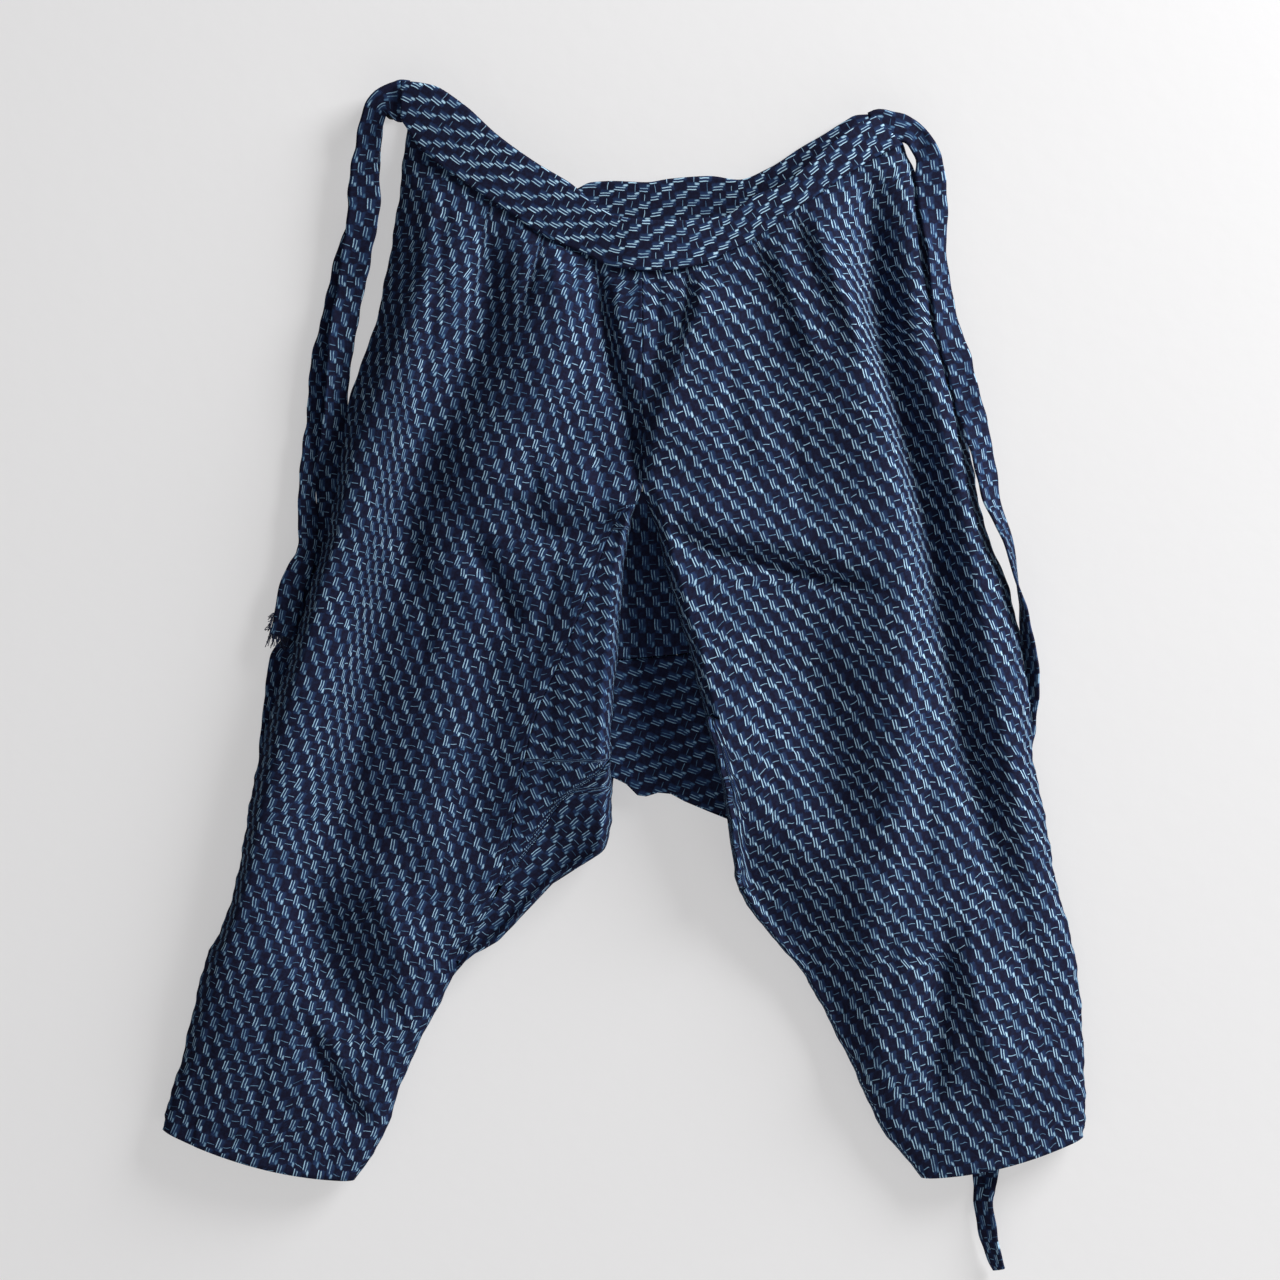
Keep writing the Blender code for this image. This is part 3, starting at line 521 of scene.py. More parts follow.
class Leg:
    """The form that the front and back of one leg are cut from."""

    def __init__(self, outline, phase):
        self.outline = outline
        self.phase = phase

    def outer(self, row):
        return self.outline.at("outer_x", row) + wobble(row, self.phase)

    def inner(self, row):
        return self.outline.at("inner_x", row) + wobble(row, 1.7) * FORM.at("parted", row)

    def z(self, row, x, band=FRONT_BAND):
        part = (x - self.outer(row)) / (self.inner(row) - self.outer(row))
        top, low = self.outline.at("outer_z", row), self.outline.at("inner_z", row)
        level = top + (low - top) * part - self.outline.at("sag", row) * 4 * part * (1 - part)
        across = self.outer(0.0) + (self.inner(0.0) - self.outer(0.0)) * part
        first, last = self.outline.at("outer_z", 0.0), self.outline.at("inner_z", 0.0)
        seam = band.over("low_x", "low_z", across) + BAND_LAP
        return level + FORM.at("waist", row) * (seam - first * (1 - part) - last * part)

    def face(self, row, x):
        part = np.clip((x - self.outer(row)) / (self.inner(row) - self.outer(row)), 0.0, 1.0)
        near_side = FORM.at("edge", row) + FACE_OVER_EDGE
        end = near_side + (FORM.at("brow", row) - near_side) * np.clip(part * 2.5 - 0.75, 0.0, 1.0)
        return end + (FORM.at("crown", row) - end) * np.sin(math.pi * part) ** 0.8

    def front(self, row, x):
        z = self.z(row, x)
        near = np.abs(x - self.outer(row))
        near = np.where(FORM.at("parted", row) > 0, np.minimum(near, np.abs(x - self.inner(row))), near)
        calm = np.clip(near / CALM, 0.0, 1.0)
        lift = (lifted(x, z, MAIN_FOLDS) + lifted(x, z, CREASES)) * calm * calm * (3 - 2 * calm)
        lift = np.where(lift > 0, lift * np.clip(row / PLEAT_ROW, 0.0, 1.0), lift)
        return self.face(row, x) + lift

    def even_rows(self, first, last, count):
        """Row places that lie evenly down the leg."""
        fine = np.linspace(first, last, 400)
        level = self.outline.at("outer_z", fine) + self.outline.at("inner_z", fine)
        gone = gone_along(np.abs(np.diff(level)))
        return np.interp(np.linspace(0.0, gone[-1], count), gone, fine)


LEFT = Leg(LEFT_OUTLINE, 0.4)
RIGHT = Leg(RIGHT_OUTLINE, 2.9)


def turned_columns(start, stop, columns, roll_start, roll_stop):
    """Places across a piece, row by row, with how far each has risen from a turned edge.

    start and stop are one place for each row, and roll_start and roll_stop say for each row how far
    that edge is turned back: 1 for a full fold, 0 for a seam where the cloth lies flat."""
    width = np.abs(stop - start)
    way = np.sign(stop - start)
    roll = np.minimum(EDGE_ROLL, 0.4 * width)
    steps = np.linspace(0.0, 1.0, ROLL_COLUMNS)
    places, rises, ends = [], [], []
    for step in steps[:-1]:
        inward = (1 - math.cos(step * math.pi / 2)) * roll_start + step * (1 - roll_start)
        places.append(start + way * roll * inward)
        rises.append(1 - roll_start * (1 - math.sin(step * math.pi / 2)))
        ends.append(0)
    for part in np.linspace(0.0, 1.0, columns):
        places.append(start + way * (roll + part * (width - 2 * roll)))
        rises.append(np.ones_like(start))
        ends.append(0 if part < 0.5 else 1)
    for step in steps[:-1][::-1]:
        inward = (1 - math.cos(step * math.pi / 2)) * roll_stop + step * (1 - roll_stop)
        places.append(stop - way * roll * inward)
        rises.append(1 - roll_stop * (1 - math.sin(step * math.pi / 2)))
        ends.append(1)
    return np.stack(places, 1), np.stack(rises, 1), np.array(ends)


def front_grid(leg, rows, start, stop, columns, roll_start, roll_stop):
    """x, z and depth over a front piece, left to right and top to bottom."""
    x, rise, ends = turned_columns(start, stop, columns, roll_start, roll_stop)
    row = np.broadcast_to(rows[:, None], x.shape)
    z = leg.z(row, x)
    full = leg.front(row, x)
    end = np.where(ends[None, :] == 0, FORM.at("edge", row), FORM.at("inner_edge", row))
    depth = full - (1 - rise) * (full - end)
    if stop[0] < start[0]:
        return x[:, ::-1], z[:, ::-1], depth[:, ::-1]
    return x, z, depth


def along(guide, x, z):
    """Where each point lies on the cloth's own threads: the way across and the way along a guide line."""
    line = np.array(guide, float)
    steps = np.arange(len(line))
    fine = np.linspace(0, len(line) - 1, 12 * (len(line) - 1) + 1)
    line = np.stack([steady(steps, line[:, k], fine) for k in (0, 1)], 1) if len(line) > 2 else line
    runs = np.hypot(*np.diff(line, axis=0).T)
    gone = gone_along(runs)
    nearest = np.full(x.shape, np.inf)
    across, down = np.zeros(x.shape), np.zeros(x.shape)
    for k, run in enumerate(runs):
        dx, dz = (line[k + 1] - line[k]) / run
        share = (x - line[k, 0]) * dx + (z - line[k, 1]) * dz
        kept = share
        if k > 0:
            kept = np.maximum(kept, 0.0)
        if k < len(runs) - 1:
            kept = np.minimum(kept, run)
        px, pz = x - line[k, 0] - kept * dx, z - line[k, 1] - kept * dz
        off = np.hypot(px, pz)
        closer = off < nearest
        nearest = np.where(closer, off, nearest)
        side = (x - line[k, 0]) * -dz + (z - line[k, 1]) * dx
        across = np.where(closer, np.sign(side) * off, across)
        down = np.where(closer, gone[k] + kept, down)
    return across, down


# Cloth that the pleats at the waist take up: how much, and the line along which it comes free again.
LEFT_TUCKS = (
    (12, ((-32, -120), (-15, -203), (0, -280))),
    (16, ((-72, -95), (-85, -135), (-104, -210))),
    (10, ((-112, -60), (-128, -140), (-150, -240))),
)
RIGHT_TUCKS = (
    (10, ((41, -120), (39, -192), (11, -284))),
    (12, ((93, -100), (115, -145), (150, -210))),
    (12, ((127, -80), (142, -118), (182, -200))),
)


# Where the left panel turns away beside its outer ridge its threads crowd together: how many millimetres of
# cloth that takes, how wide the place is, and its line.
LEFT_CROWDING = (24, 20, ((-178, -150), (-187, -230), (-209, -377), (-225, -440), (-240, -560)))


def crowded(z, x, crowding, side):
    """Cloth taken up along a soft line, most at its middle and none at its ends."""
    take, width, points = crowding
    line = np.array(points, float)[::-1]
    part = np.clip((z - line[0, 1]) / (line[-1, 1] - line[0, 1]), 0.0, 1.0)
    beyond = 0.5 + 0.5 * np.tanh(side * (x - np.interp(z, line[:, 1], line[:, 0])) / width * 2)
    return side * take * np.sin(math.pi * part) ** 0.7 * beyond


def threads_of(guide, x, z, depth, tucks=(), side=1):
    """The threads' measure over a sheet, with what its slopes and pleats take up."""
    across, down = along(guide, x, z)
    flat = np.hypot(np.diff(x, axis=1), np.diff(z, axis=1))
    sloped = np.sqrt(flat ** 2 + np.diff(depth, axis=1) ** 2)
    extra = np.concatenate([np.zeros((len(x), 1)), np.cumsum(sloped - flat, axis=1)], 1)
    middle = np.argmin(np.abs(across), axis=1)
    rising = 1.0 if across[len(x) // 2, -1] > across[len(x) // 2, 0] else -1.0
    across = across + rising * (extra - extra[np.arange(len(x)), middle][:, None])
    flat = np.hypot(np.diff(x, axis=0), np.diff(z, axis=0))
    sloped = np.sqrt(flat ** 2 + np.diff(depth, axis=0) ** 2)
    down = down + np.concatenate([np.zeros((1, x.shape[1])), np.cumsum(sloped - flat, axis=0)], 0)
    for take, points in tucks:
        line = np.array(points, float)[::-1]
        fade = np.clip((z - line[0, 1]) / (line[-1, 1] - line[0, 1]), 0.0, 1.0) ** 1.3
        beyond = 0.5 + 0.5 * np.tanh(side * (x - np.interp(z, line[:, 1], line[:, 0])) / 1.5)
        across = across + side * take * fade * beyond
    return across, down


def in_frame(x, z, depth):
    """A drafting place as a place in the frame, in metres."""
    return (x - ORIGIN[0]) * MM, -depth * MM, (z - ORIGIN[1]) * MM


def cloth(name, x, z, depth, threads, finish, thickness=CLOTH, to_wall=False):
    """A sheet of cloth through rows of places, with its threads' own measure as its UV map."""
    rows, columns = x.shape
    bpy.ops.object.select_all(action="DESELECT")
    bpy.ops.mesh.primitive_grid_add(x_subdivisions=columns - 1, y_subdivisions=rows - 1, size=1.0)
    piece = bpy.context.object
    piece.name = name
    order = np.arange(rows)[::-1]
    places = np.stack(in_frame(x, z, depth), 2)[order].reshape(-1, 3)
    piece.data.vertices.foreach_set("co", places.ravel())
    corners = np.empty(len(piece.data.loops), int)
    piece.data.loops.foreach_get("vertex_index", corners)
    measure = np.stack([threads[0], threads[1]], 2)[order].reshape(-1, 2) * MM
    piece.data.uv_layers.active.name = "threads"
    piece.data.uv_layers["threads"].data.foreach_set("uv", measure[corners].ravel())
    piece.data.update()
    if to_wall:
        bpy.ops.object.mode_set(mode="EDIT")
        bpy.ops.mesh.select_all(action="SELECT")
        bpy.ops.mesh.flip_normals()
        bpy.ops.object.mode_set(mode="OBJECT")
    wall_of_cloth = piece.modifiers.new("wall", "SOLIDIFY")
    wall_of_cloth.thickness = thickness * MM
    wall_of_cloth.offset = -1.0
    bpy.ops.object.modifier_apply(modifier="wall")
    bpy.ops.object.shade_smooth()
    piece.data.materials.append(finish.material)
    return piece


# Kasuri: warp threads are dyed in patches before weaving, so that short light dashes stand in pairs on the
# indigo ground. Each row of pairs steps sideways from the row above, a dab lies beside the foot of each
# pair, and beyond most dabs a single light weft thread runs on to the next pair.
PAIR_STEP = 12.9
PAIR_START = 0.15
ROW_STEP = 10.2
ROW_START = 0.43
THREAD = 0.42
# How far the pattern wanders across and along, and how far each warp and weft thread has slipped in it.
WANDER_ACROSS = 6.0
WANDER_ALONG = 9.0
WARP_SLIP = 1.1
WEFT_SLIP = 0.12
PAIR_SLIP = 0.8
# A pair's two lines, its dab and the halo round both: the middle across, half the width, the upper and
# lower end, and how soft the sides and the ends are.
LEFT_LINE = (-1.1, 0.33, -4.2, 3.4, 0.25)
RIGHT_LINE = (1.1, 0.33, -3.7, 3.9, 0.25)
DAB = (3.1, 0.8, 2.2, 5.6, 0.7, 1.2)
GLOW = (1.6, 2.4, -6.0, 6.0, 2.0, 1.0)
# The thread beyond the dab: where it starts, how far it reaches at least and how much more at most, half its
# width, and the share of dabs that have none.
TICK_START = 4.4
TICK_REACH = 8.6
TICK_MORE = 2.2
TICK_HALF = 0.24
TICK_MISSING = 0.3
GROUND = (0.0094, 0.0092, 0.0270, 1.0)
HALO = (0.0190, 0.0400, 0.1080, 1.0)
DASH_DIM = (0.0750, 0.1850, 0.3400, 1.0)
DASH_BRIGHT = (0.5700, 0.8300, 1.0000, 1.0)


def kasuri(name, fade, row_shift):
    """Indigo cotton with its woven dashes, on the piece's own threads."""
    net = Net(name)
    u, v, _ = net.parts(net.node("ShaderNodeUVMap", {"uv_map": "threads"}))
    u, v = u * 1000.0, v * 1000.0
    warp = abs((u / THREAD) % 1.0 - 0.5)
    weft = abs((v / THREAD) % 1.0 - 0.5)
    place = net.node("ShaderNodeCombineXYZ", {}, {0: u, 1: v})
    drift = net.node(
        "ShaderNodeTexNoise", {}, {"Vector": place, "Scale": 0.03, "Detail": 3.0}, output="Color")
    drift_u, drift_v, _ = net.parts(drift)
    thread = net.chance("1D", {"W": (u / THREAD).floor()})
    pick = net.chance("1D", {"W": (v / THREAD).floor() + 0.5})
    u = u + (drift_u - 0.5) * WANDER_ACROSS + (pick - 0.5) * WEFT_SLIP
    even_v = v + (drift_v - 0.5) * WANDER_ALONG
    v = even_v + (thread - 0.5) * WARP_SLIP
    row = (v / ROW_STEP).floor()
    stepped = u + row * (PAIR_STEP - row_shift)
    pair = (stepped / PAIR_STEP).floor()
    a = stepped - (pair + PAIR_START) * PAIR_STEP
    b = v - (row + ROW_START) * ROW_STEP
    even_b = even_v - (row + ROW_START) * ROW_STEP
    cell = net.node("ShaderNodeCombineXYZ", {}, {0: pair, 1: row, 2: 7.3})
    other_cell = net.node("ShaderNodeCombineXYZ", {}, {0: pair, 1: row, 2: 3.1})
    first, second, third = net.parts(net.chance("3D", {"Vector": cell}, "Color"))
    fourth, fifth, sixth = net.parts(net.chance("3D", {"Vector": other_cell}, "Color"))

    def bar(middle, half, top, low, soft_side, soft_end=0.6, slip=None):
        top, low = (top, low) if slip is None else (slip + top, slip + low)
        side = ((half - abs(a - middle)) / soft_side + 0.5).held()
        ends = ((b - top).least(low - b) / soft_end + 0.5).held()
        return side * ends

    slip = (first - 0.5) * PAIR_SLIP
    left_line, right_line = bar(*LEFT_LINE, slip=slip), bar(*RIGHT_LINE, slip=slip)
    level = fourth * 3.2 - 0.6
    reach = TICK_REACH + TICK_MORE * fifth
    on_tick = ((a - TICK_START).least(reach - a) / 0.6 + 0.5).held()
    tick = ((TICK_HALF - abs(even_b - level)) / 0.25 + 0.5).held() * on_tick
    light = left_line.most(right_line * (0.75 + 0.25 * third)).most(bar(*DAB) * (0.55 + 0.4 * fifth))
    light = light.most(tick * (sixth > TICK_MISSING) * (0.4 + 0.4 * third))
    mottle = net.node(
        "ShaderNodeTexNoise", {}, {"Vector": place, "Scale": 0.3, "Detail": 4.0, "Roughness": 0.65})
    # fade brightens every dash of the piece when above zero and darkens them all when below it. On the
    # panels and on the crotch sheet it is painted light and painted shade.
    light = light * (0.55 + 0.45 * second) * (1.0 + 1.3 * (mottle - 0.5) + fade)
    ground = net.mixed((bar(*GLOW) * (0.45 + mottle) + 1.2 * (mottle - 0.42)).held(), GROUND, HALO)
    dashes = net.mixed((light * 1.4 - 0.4).held(), DASH_DIM, DASH_BRIGHT)
    net.feed("Base Color", net.mixed((light * 2.4).held(), ground, dashes))
    net.relief(0.3, 0.0002, warp + weft)
    net.feed("Roughness", 0.9)
    net.feed("Specular IOR Level", 0.12)
    return net


# The right panels' dashes are drawn brighter than the left panels': painted light on the right and painted
# shade on the left, for the daylight from the right.
LEFT_CLOTH = kasuri("left_panel_kasuri", -0.05, 6.6)
RIGHT_CLOTH = kasuri("right_panel_kasuri", 0.17, 5.2)
LEFT_THREADS = ((-90, -60), (-160, -330), (-235, -600), (-320, -860))
RIGHT_THREADS = ((96, -60), (170, -330), (240, -600), (300, -860))
GUSSET_FIRST, GUSSET_LAST = 5.6, 15.0
STRIP_FIRST, STRIP_LAST = 9.0, 13.0


def front_left():
    rows = LEFT.even_rows(0.0, HEM_ROW, PANEL_ROWS)
    stop = LEFT.inner(rows) - SEAM / 2
    seam = LEFT_SEAMS.at("split", rows) - SEAM / 2
    inside = (rows >= GUSSET_FIRST) & (rows <= GUSSET_LAST)
    stop = np.where(inside, np.minimum(seam, stop), stop)
    turned = np.where(inside, 0.0, FORM.at("parted", rows))
    grid = front_grid(LEFT, rows, LEFT.outer(rows), stop, 92, np.ones_like(rows), turned)
    across, down = threads_of(LEFT_THREADS, *grid, LEFT_TUCKS, -1)
    across = across + crowded(grid[1], grid[0], LEFT_CROWDING, -1)
    return cloth("panel_front_left", *grid, (across, down), LEFT_CLOTH)


def front_right():
    rows = RIGHT.even_rows(0.0, HEM_ROW, PANEL_ROWS)
    on_strip = (rows > STRIP_FIRST) & (rows < STRIP_LAST)
    stop = RIGHT.inner(rows) + SEAM / 2 + np.where(on_strip, STRIP.at("width", rows), 0.0)
    turned = np.where(on_strip, 0.0, FORM.at("parted", rows))
    grid = front_grid(RIGHT, rows, RIGHT.outer(rows), stop, 98, np.ones_like(rows), turned)
    threads = threads_of(RIGHT_THREADS, *grid, RIGHT_TUCKS, 1)
    return cloth("panel_front_right", *grid, threads, RIGHT_CLOTH)


def dress(piece, node):
    """Tie a piece to the frame by what it rides on, and hide its solid."""
    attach(piece, "root")
    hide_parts(node)


dress(front_left(), "front_left")
dress(front_right(), "front_right")

# CROTCH GUSSET. A square of the same cloth set between the legs. On the left leg's front its triangle and
# the piece turned under it show, on the right leg only a narrow strip along the fold.

GUSSET_CLOTH = kasuri("gusset_kasuri", -0.12, 6.6)
# The row where the triangle's own edge ends, and below it the piece that is turned under begins.
GUSSET_CORNER, UNDER_FIRST = 9.95, 10.02


def gusset_piece(name, node, grid, guide):
    piece = cloth(name, *grid, threads_of(guide, *grid), GUSSET_CLOTH)
    dress(piece, node)


def gusset_pieces():
    rows = LEFT.even_rows(GUSSET_FIRST, STRIP_LAST, 110)
    folded = rows < GUSSET_CORNER
    start = LEFT_SEAMS.at("split", rows) + SEAM / 2
    stop = np.where(folded, LEFT.inner(rows), LEFT_SEAMS.at("under", rows) - SEAM / 2)
    turned = np.where(folded, FORM.at("parted", rows), 0.0)
    grid = front_grid(LEFT, rows, start, stop, 18, np.zeros_like(rows), turned)
    guide = ((-20, -300), (50, -438), (120, -576))
    gusset_piece("gusset_front_left", "gusset_front", grid, guide)

    rows = LEFT.even_rows(UNDER_FIRST, GUSSET_LAST, 70)
    start = np.maximum(LEFT_SEAMS.at("under", rows), LEFT_SEAMS.at("split", rows)) + SEAM / 2
    grid = front_grid(LEFT, rows, start, LEFT.inner(rows), 16, np.zeros_like(rows), np.ones_like(rows))
    guide = ((0, -520), (-150, -637))
    gusset_piece("gusset_under_left", "gusset_under", grid, guide)

    rows = RIGHT.even_rows(STRIP_FIRST, STRIP_LAST, 60)
    stop = RIGHT.inner(rows)
    start = stop + STRIP.at("width", rows) - SEAM / 2
    grid = front_grid(RIGHT, rows, start, stop, 4, np.zeros_like(rows), np.ones_like(rows))
    guide = ((60, -470), (84, -640))
    gusset_piece("gusset_strip_right", "gusset_right", grid, guide)


gusset_pieces()

# SHEET BETWEEN THE LEGS. Behind the parted legs hangs the crotch: an upper piece with its threads upright
# and, across a seam, the gusset's own cloth below it, whose edge is folded under.

CROTCH_TUCK = 3.0
CROTCH_LEFT_END = 10.4
CROTCH_ROWS = (5.25, 8.0, 11.4)
CROTCH_SEAM = 0.008
CROTCH_EDGE = Table("x z", (
    (-23, -527), (-18, -528), (-8, -533), (1, -542), (8, -543), (18, -540), (28, -541), (39, -547),
    (58, -555), (76, -561),
))
CROTCH_DIP = 7.0
CROTCH_LEAST = 11.6
CROTCH_ROW = 5.0
CROTCH_FAN_ROW = 10.0
CROTCH_SIDES = 0.06
CROTCH_BEHIND_FORK = 2.0
CROTCH_FOLDS = (
    (2.0, 5, 5, 2, ((10, -470), (20, -541))),
    (-2.2, 6, 6, 2, ((0, -420), (6, -500))),
    (-1.8, 6, 6, 2, ((30, -440), (34, -545))),
    (1.6, 7, 7, 2, ((48, -470), (58, -552))),
    (1.4, 5, 5, 2, ((6, -330), (8, -400))),
)


def crotch_grid(first, last, count):
    rows = np.linspace(first, last, count)[:, None]
    _, split, end = CROTCH_ROWS
    fan = np.clip((rows - CROTCH_FAN_ROW) / (end - CROTCH_FAN_ROW), 0.0, 1.0)
    left_row = np.minimum(rows, CROTCH_FAN_ROW) + fan * (CROTCH_LEFT_END - CROTCH_FAN_ROW)
    left_x, right_x = LEFT.inner(left_row) - CROTCH_TUCK, RIGHT.inner(rows) + CROTCH_TUCK
    left_z, right_z = LEFT.z(left_row, LEFT.inner(left_row)), RIGHT.z(rows, RIGHT.inner(rows))
    edge_x, edge_z = CROTCH_EDGE.all("x"), CROTCH_EDGE.all("z")
    part = np.linspace(0.0, 1.0, 48)[None, :]
    edge = steady(edge_x, edge_z, edge_x[0] + (edge_x[-1] - edge_x[0]) * part)
    lift = edge - edge_z[0] - (edge_z[-1] - edge_z[0]) * part
    x = left_x + (right_x - left_x) * part
    z = left_z + (right_z - left_z) * part + lift * np.clip((rows - split) / (end - split), 0.0, 1.0) ** 2
    level = left_row + (rows - left_row) * part
    joined = FORM.at("brow", level) - CROTCH_BEHIND_FORK
    depth = joined + (FORM.at("inner_edge", level) - joined) * FORM.at("parted", level) - SEAM
    inside = np.clip((part - CROTCH_SIDES) / (1 - 2 * CROTCH_SIDES), 0.0, 1.0)
    depth = depth - CROTCH_DIP * np.sin(math.pi * inside) * np.clip((rows - CROTCH_ROW) / 2, 0.0, 1.0)
    folds = lifted(x, z, CROTCH_FOLDS) * np.clip(np.sin(math.pi * part) * 2, 0.0, 1.0)
    return x, z, np.maximum(depth + folds, CROTCH_LEAST)


# The crotch sheet's dashes are drawn much darker: painted shade between the legs.
CROTCH_CLOTH_PAINTED_SHADE = kasuri("crotch_kasuri_painted_shade", -0.35, 6.6)
upper = crotch_grid(CROTCH_ROWS[0], CROTCH_ROWS[1] - CROTCH_SEAM, 56)
dress(cloth("crotch_sheet_upper", *upper, along(((8, -300), (20, -560)), *upper[:2]), CROTCH_CLOTH_PAINTED_SHADE),
      "crotch_upper")
lower = crotch_grid(CROTCH_ROWS[1] + CROTCH_SEAM, CROTCH_ROWS[2], 56)
dress(cloth("crotch_sheet_lower", *lower, along(((-30, -450), (90, -494)), *lower[:2]), CROTCH_CLOTH_PAINTED_SHADE),
      "crotch_lower")

# BACK PANELS. They lie against the wall and meet at the centre back seam, then along the edges of the
# gusset, which spreads between them down to the folds of the legs.

BACK_DEPTH = 6.0
BACK_ROLL = 8.0
BACK_APEX = -354.0
BACK_SPREAD = 0.37
GUSSET_BACK_END = {-1: 13.6, 1: 14.3}
GUSSET_BACK_LEFT_ROWS = (13.6, 13.3, 13, 12.5, 12, 11)
GUSSET_BACK_RIGHT_ROWS = (12, 12.5, 13, 13.5, 14, 14.3)
GUSSET_BACK_LAST = (73, -561)
# Where the back's inner edge lies behind the front's: clear of the gusset, then, below this row, close.
BACK_CLEAR = 1.2
LEG_FREE_ROW = 15.5
# The back's outer edge is a full fold where it stands at least this far forward.
FULL_TURN = 5.7
BACK_FOLDS = (
    (-1.6, 12, 12, 2, ((-150, -120), (-190, -300), (-230, -480))),
    (1.2, 10, 10, 2, ((-90, -160), (-110, -330))),
    (-1.6, 12, 12, 2, ((-240, -560), (-290, -760))),
    (-1.6, 12, 12, 2, ((150, -120), (190, -300), (230, -480))),
    (1.2, 10, 10, 2, ((90, -160), (110, -330))),
    (-1.6, 12, 12, 2, ((230, -560), (270, -760))),
    (-1.4, 8, 8, 2, ((-40, -110), (-50, -190))),
    (-1.4, 8, 8, 2, ((60, -105), (68, -190))),
)


def back_stop(leg, rows):
    """Where a back panel ends on its inner side, and whether it is folded there."""
    side = 1 if leg is RIGHT else -1
    x = np.full_like(rows, CENTRE_X)
    for _ in range(12):
        drop = np.maximum(0.0, BACK_APEX - leg.z(rows, x, BACK_BAND))
        x = CENTRE_X + side * drop * BACK_SPREAD
    below = rows > GUSSET_BACK_END[side]
    return np.where(below, leg.inner(rows), x + side * SEAM / 2), below.astype(float)


def back_panel(leg, name, node, guide):
    side = 1 if leg is RIGHT else -1
    rows = leg.even_rows(0.0, HEM_ROW, 190)
    stop, folded = back_stop(leg, rows)
    gap = np.maximum(0.0, FORM.at("edge", rows) - SEAM - FORM.at("slit", rows) - BACK_DEPTH)
    start_turned = np.clip(gap / FULL_TURN, 0.0, 1.0)
    x, rise, ends = turned_columns(leg.outer(rows), stop, 50, start_turned, folded)
    row = np.broadcast_to(rows[:, None], x.shape)
    clear = np.where(row > LEG_FREE_ROW, SEAM, BACK_CLEAR)
    inner_gap = FORM.at("inner_edge", row) - clear - BACK_DEPTH
    end = np.where(ends[None, :] == 0, gap[:, None], inner_gap)
    z = leg.z(row, x, BACK_BAND)
    depth = BACK_DEPTH + end * (1 - rise) - lifted(x, z, BACK_FOLDS) * np.where(rise < 1, 0.0, 0.8)
    if side > 0:
        x, z, depth = x[:, ::-1], z[:, ::-1], depth[:, ::-1]
    finish = RIGHT_CLOTH if leg is RIGHT else LEFT_CLOTH
    piece = cloth(name, x, z, depth, threads_of(guide, x, z, depth), finish, to_wall=True)
    dress(piece, node)


back_panel(LEFT, "panel_back_left", "back_left", LEFT_THREADS)
back_panel(RIGHT, "panel_back_right", "back_right", RIGHT_THREADS)


def gusset_back_column(leg, side, row):
    """One level column of the gusset behind, from a back panel's edge to that leg's inner fold."""
    inner = float(leg.inner(row))
    z = float(leg.z(row, inner))
    top = CENTRE_X + side * ((BACK_APEX - z) * BACK_SPREAD - SEAM / 2)
    return top, z, inner, z, float(FORM.at("inner_edge", row)) - SEAM


def gusset_behind():
    columns = [gusset_back_column(LEFT, -1, row) for row in GUSSET_BACK_LEFT_ROWS]
    edge = [tuple(point) for point in CROTCH_EDGE.rows[1:-1]] + [GUSSET_BACK_LAST]
    apex = len(edge) // 2
    for n, (x, z) in enumerate(edge):
        side_z = edge[0][1] if n < apex else edge[-1][1]
        reach = (BACK_APEX - side_z) * BACK_SPREAD * (n - apex) / apex
        top_z = BACK_APEX - abs(reach) / BACK_SPREAD - SEAM
        columns.append((CENTRE_X + reach, top_z, x, z, CROTCH_LEAST - CLOTH - SEAM))
    columns += [gusset_back_column(RIGHT, 1, row) for row in GUSSET_BACK_RIGHT_ROWS]
    fine = np.linspace(0, len(columns) - 1, 4 * (len(columns) - 1) + 1)
    table = np.array(columns)
    top_x, top_z, low_x, low_z, end = [np.interp(fine, np.arange(len(table)), table[:, k]) for k in range(5)]
    length = np.hypot(top_x - low_x, top_z - low_z)
    roll = np.minimum(BACK_ROLL, 0.5 * length) / length
    parts = [part * (1 - roll) for part in np.linspace(0.0, 1.0, 30)[:-1]]
    rises = [0.0 * roll for _ in parts]
    for step in np.linspace(0.0, 1.0, 9):
        parts.append(1 - roll * (1 - math.sin(step * math.pi / 2)))
        rises.append(0.0 * roll + 1 - math.cos(step * math.pi / 2))
    part, rise = np.stack(parts), np.stack(rises)
    x, z = top_x + (low_x - top_x) * part, top_z + (low_z - top_z) * part
    depth = BACK_DEPTH + (end - BACK_DEPTH) * rise
    threads = along(((5, -340), (5, -640)), x, z)
    return cloth("gusset_behind", x, z, depth, threads, GUSSET_CLOTH, to_wall=True)


dress(gusset_behind(), "gusset_back")

# WAISTBANDS. Doubled strips of the cloth with the threads running round the waist. The front one sags
# between its corners, and the back one's inner face shows above it.

BAND = 2.0
# The front band lies this far over the panels, on the highest cloth within this reach. The back band lies
# this far behind the back panels.
BAND_CLEAR = 0.5
BAND_REACH = 14.0
BAND_BEHIND = 2.6
BAND_CLOTH = kasuri("band_kasuri", 0.28, 6.0)


def band_grid(band, columns, rows):
    places = np.linspace(0, len(band.rows) - 1, columns)[None, :]
    part = np.linspace(0.0, 1.0, rows)[:, None]
    top_x, top_z = band.at("top_x", places), band.at("top_z", places)
    low_x, low_z = band.at("low_x", places), band.at("low_z", places)
    x = top_x + (low_x - top_x) * part
    z = top_z + (low_z - top_z) * part
    middle = [((a + c) / 2, (b + d) / 2) for a, b, c, d in band.rows]
    return x, z, low_x, part, along(middle, x, z)


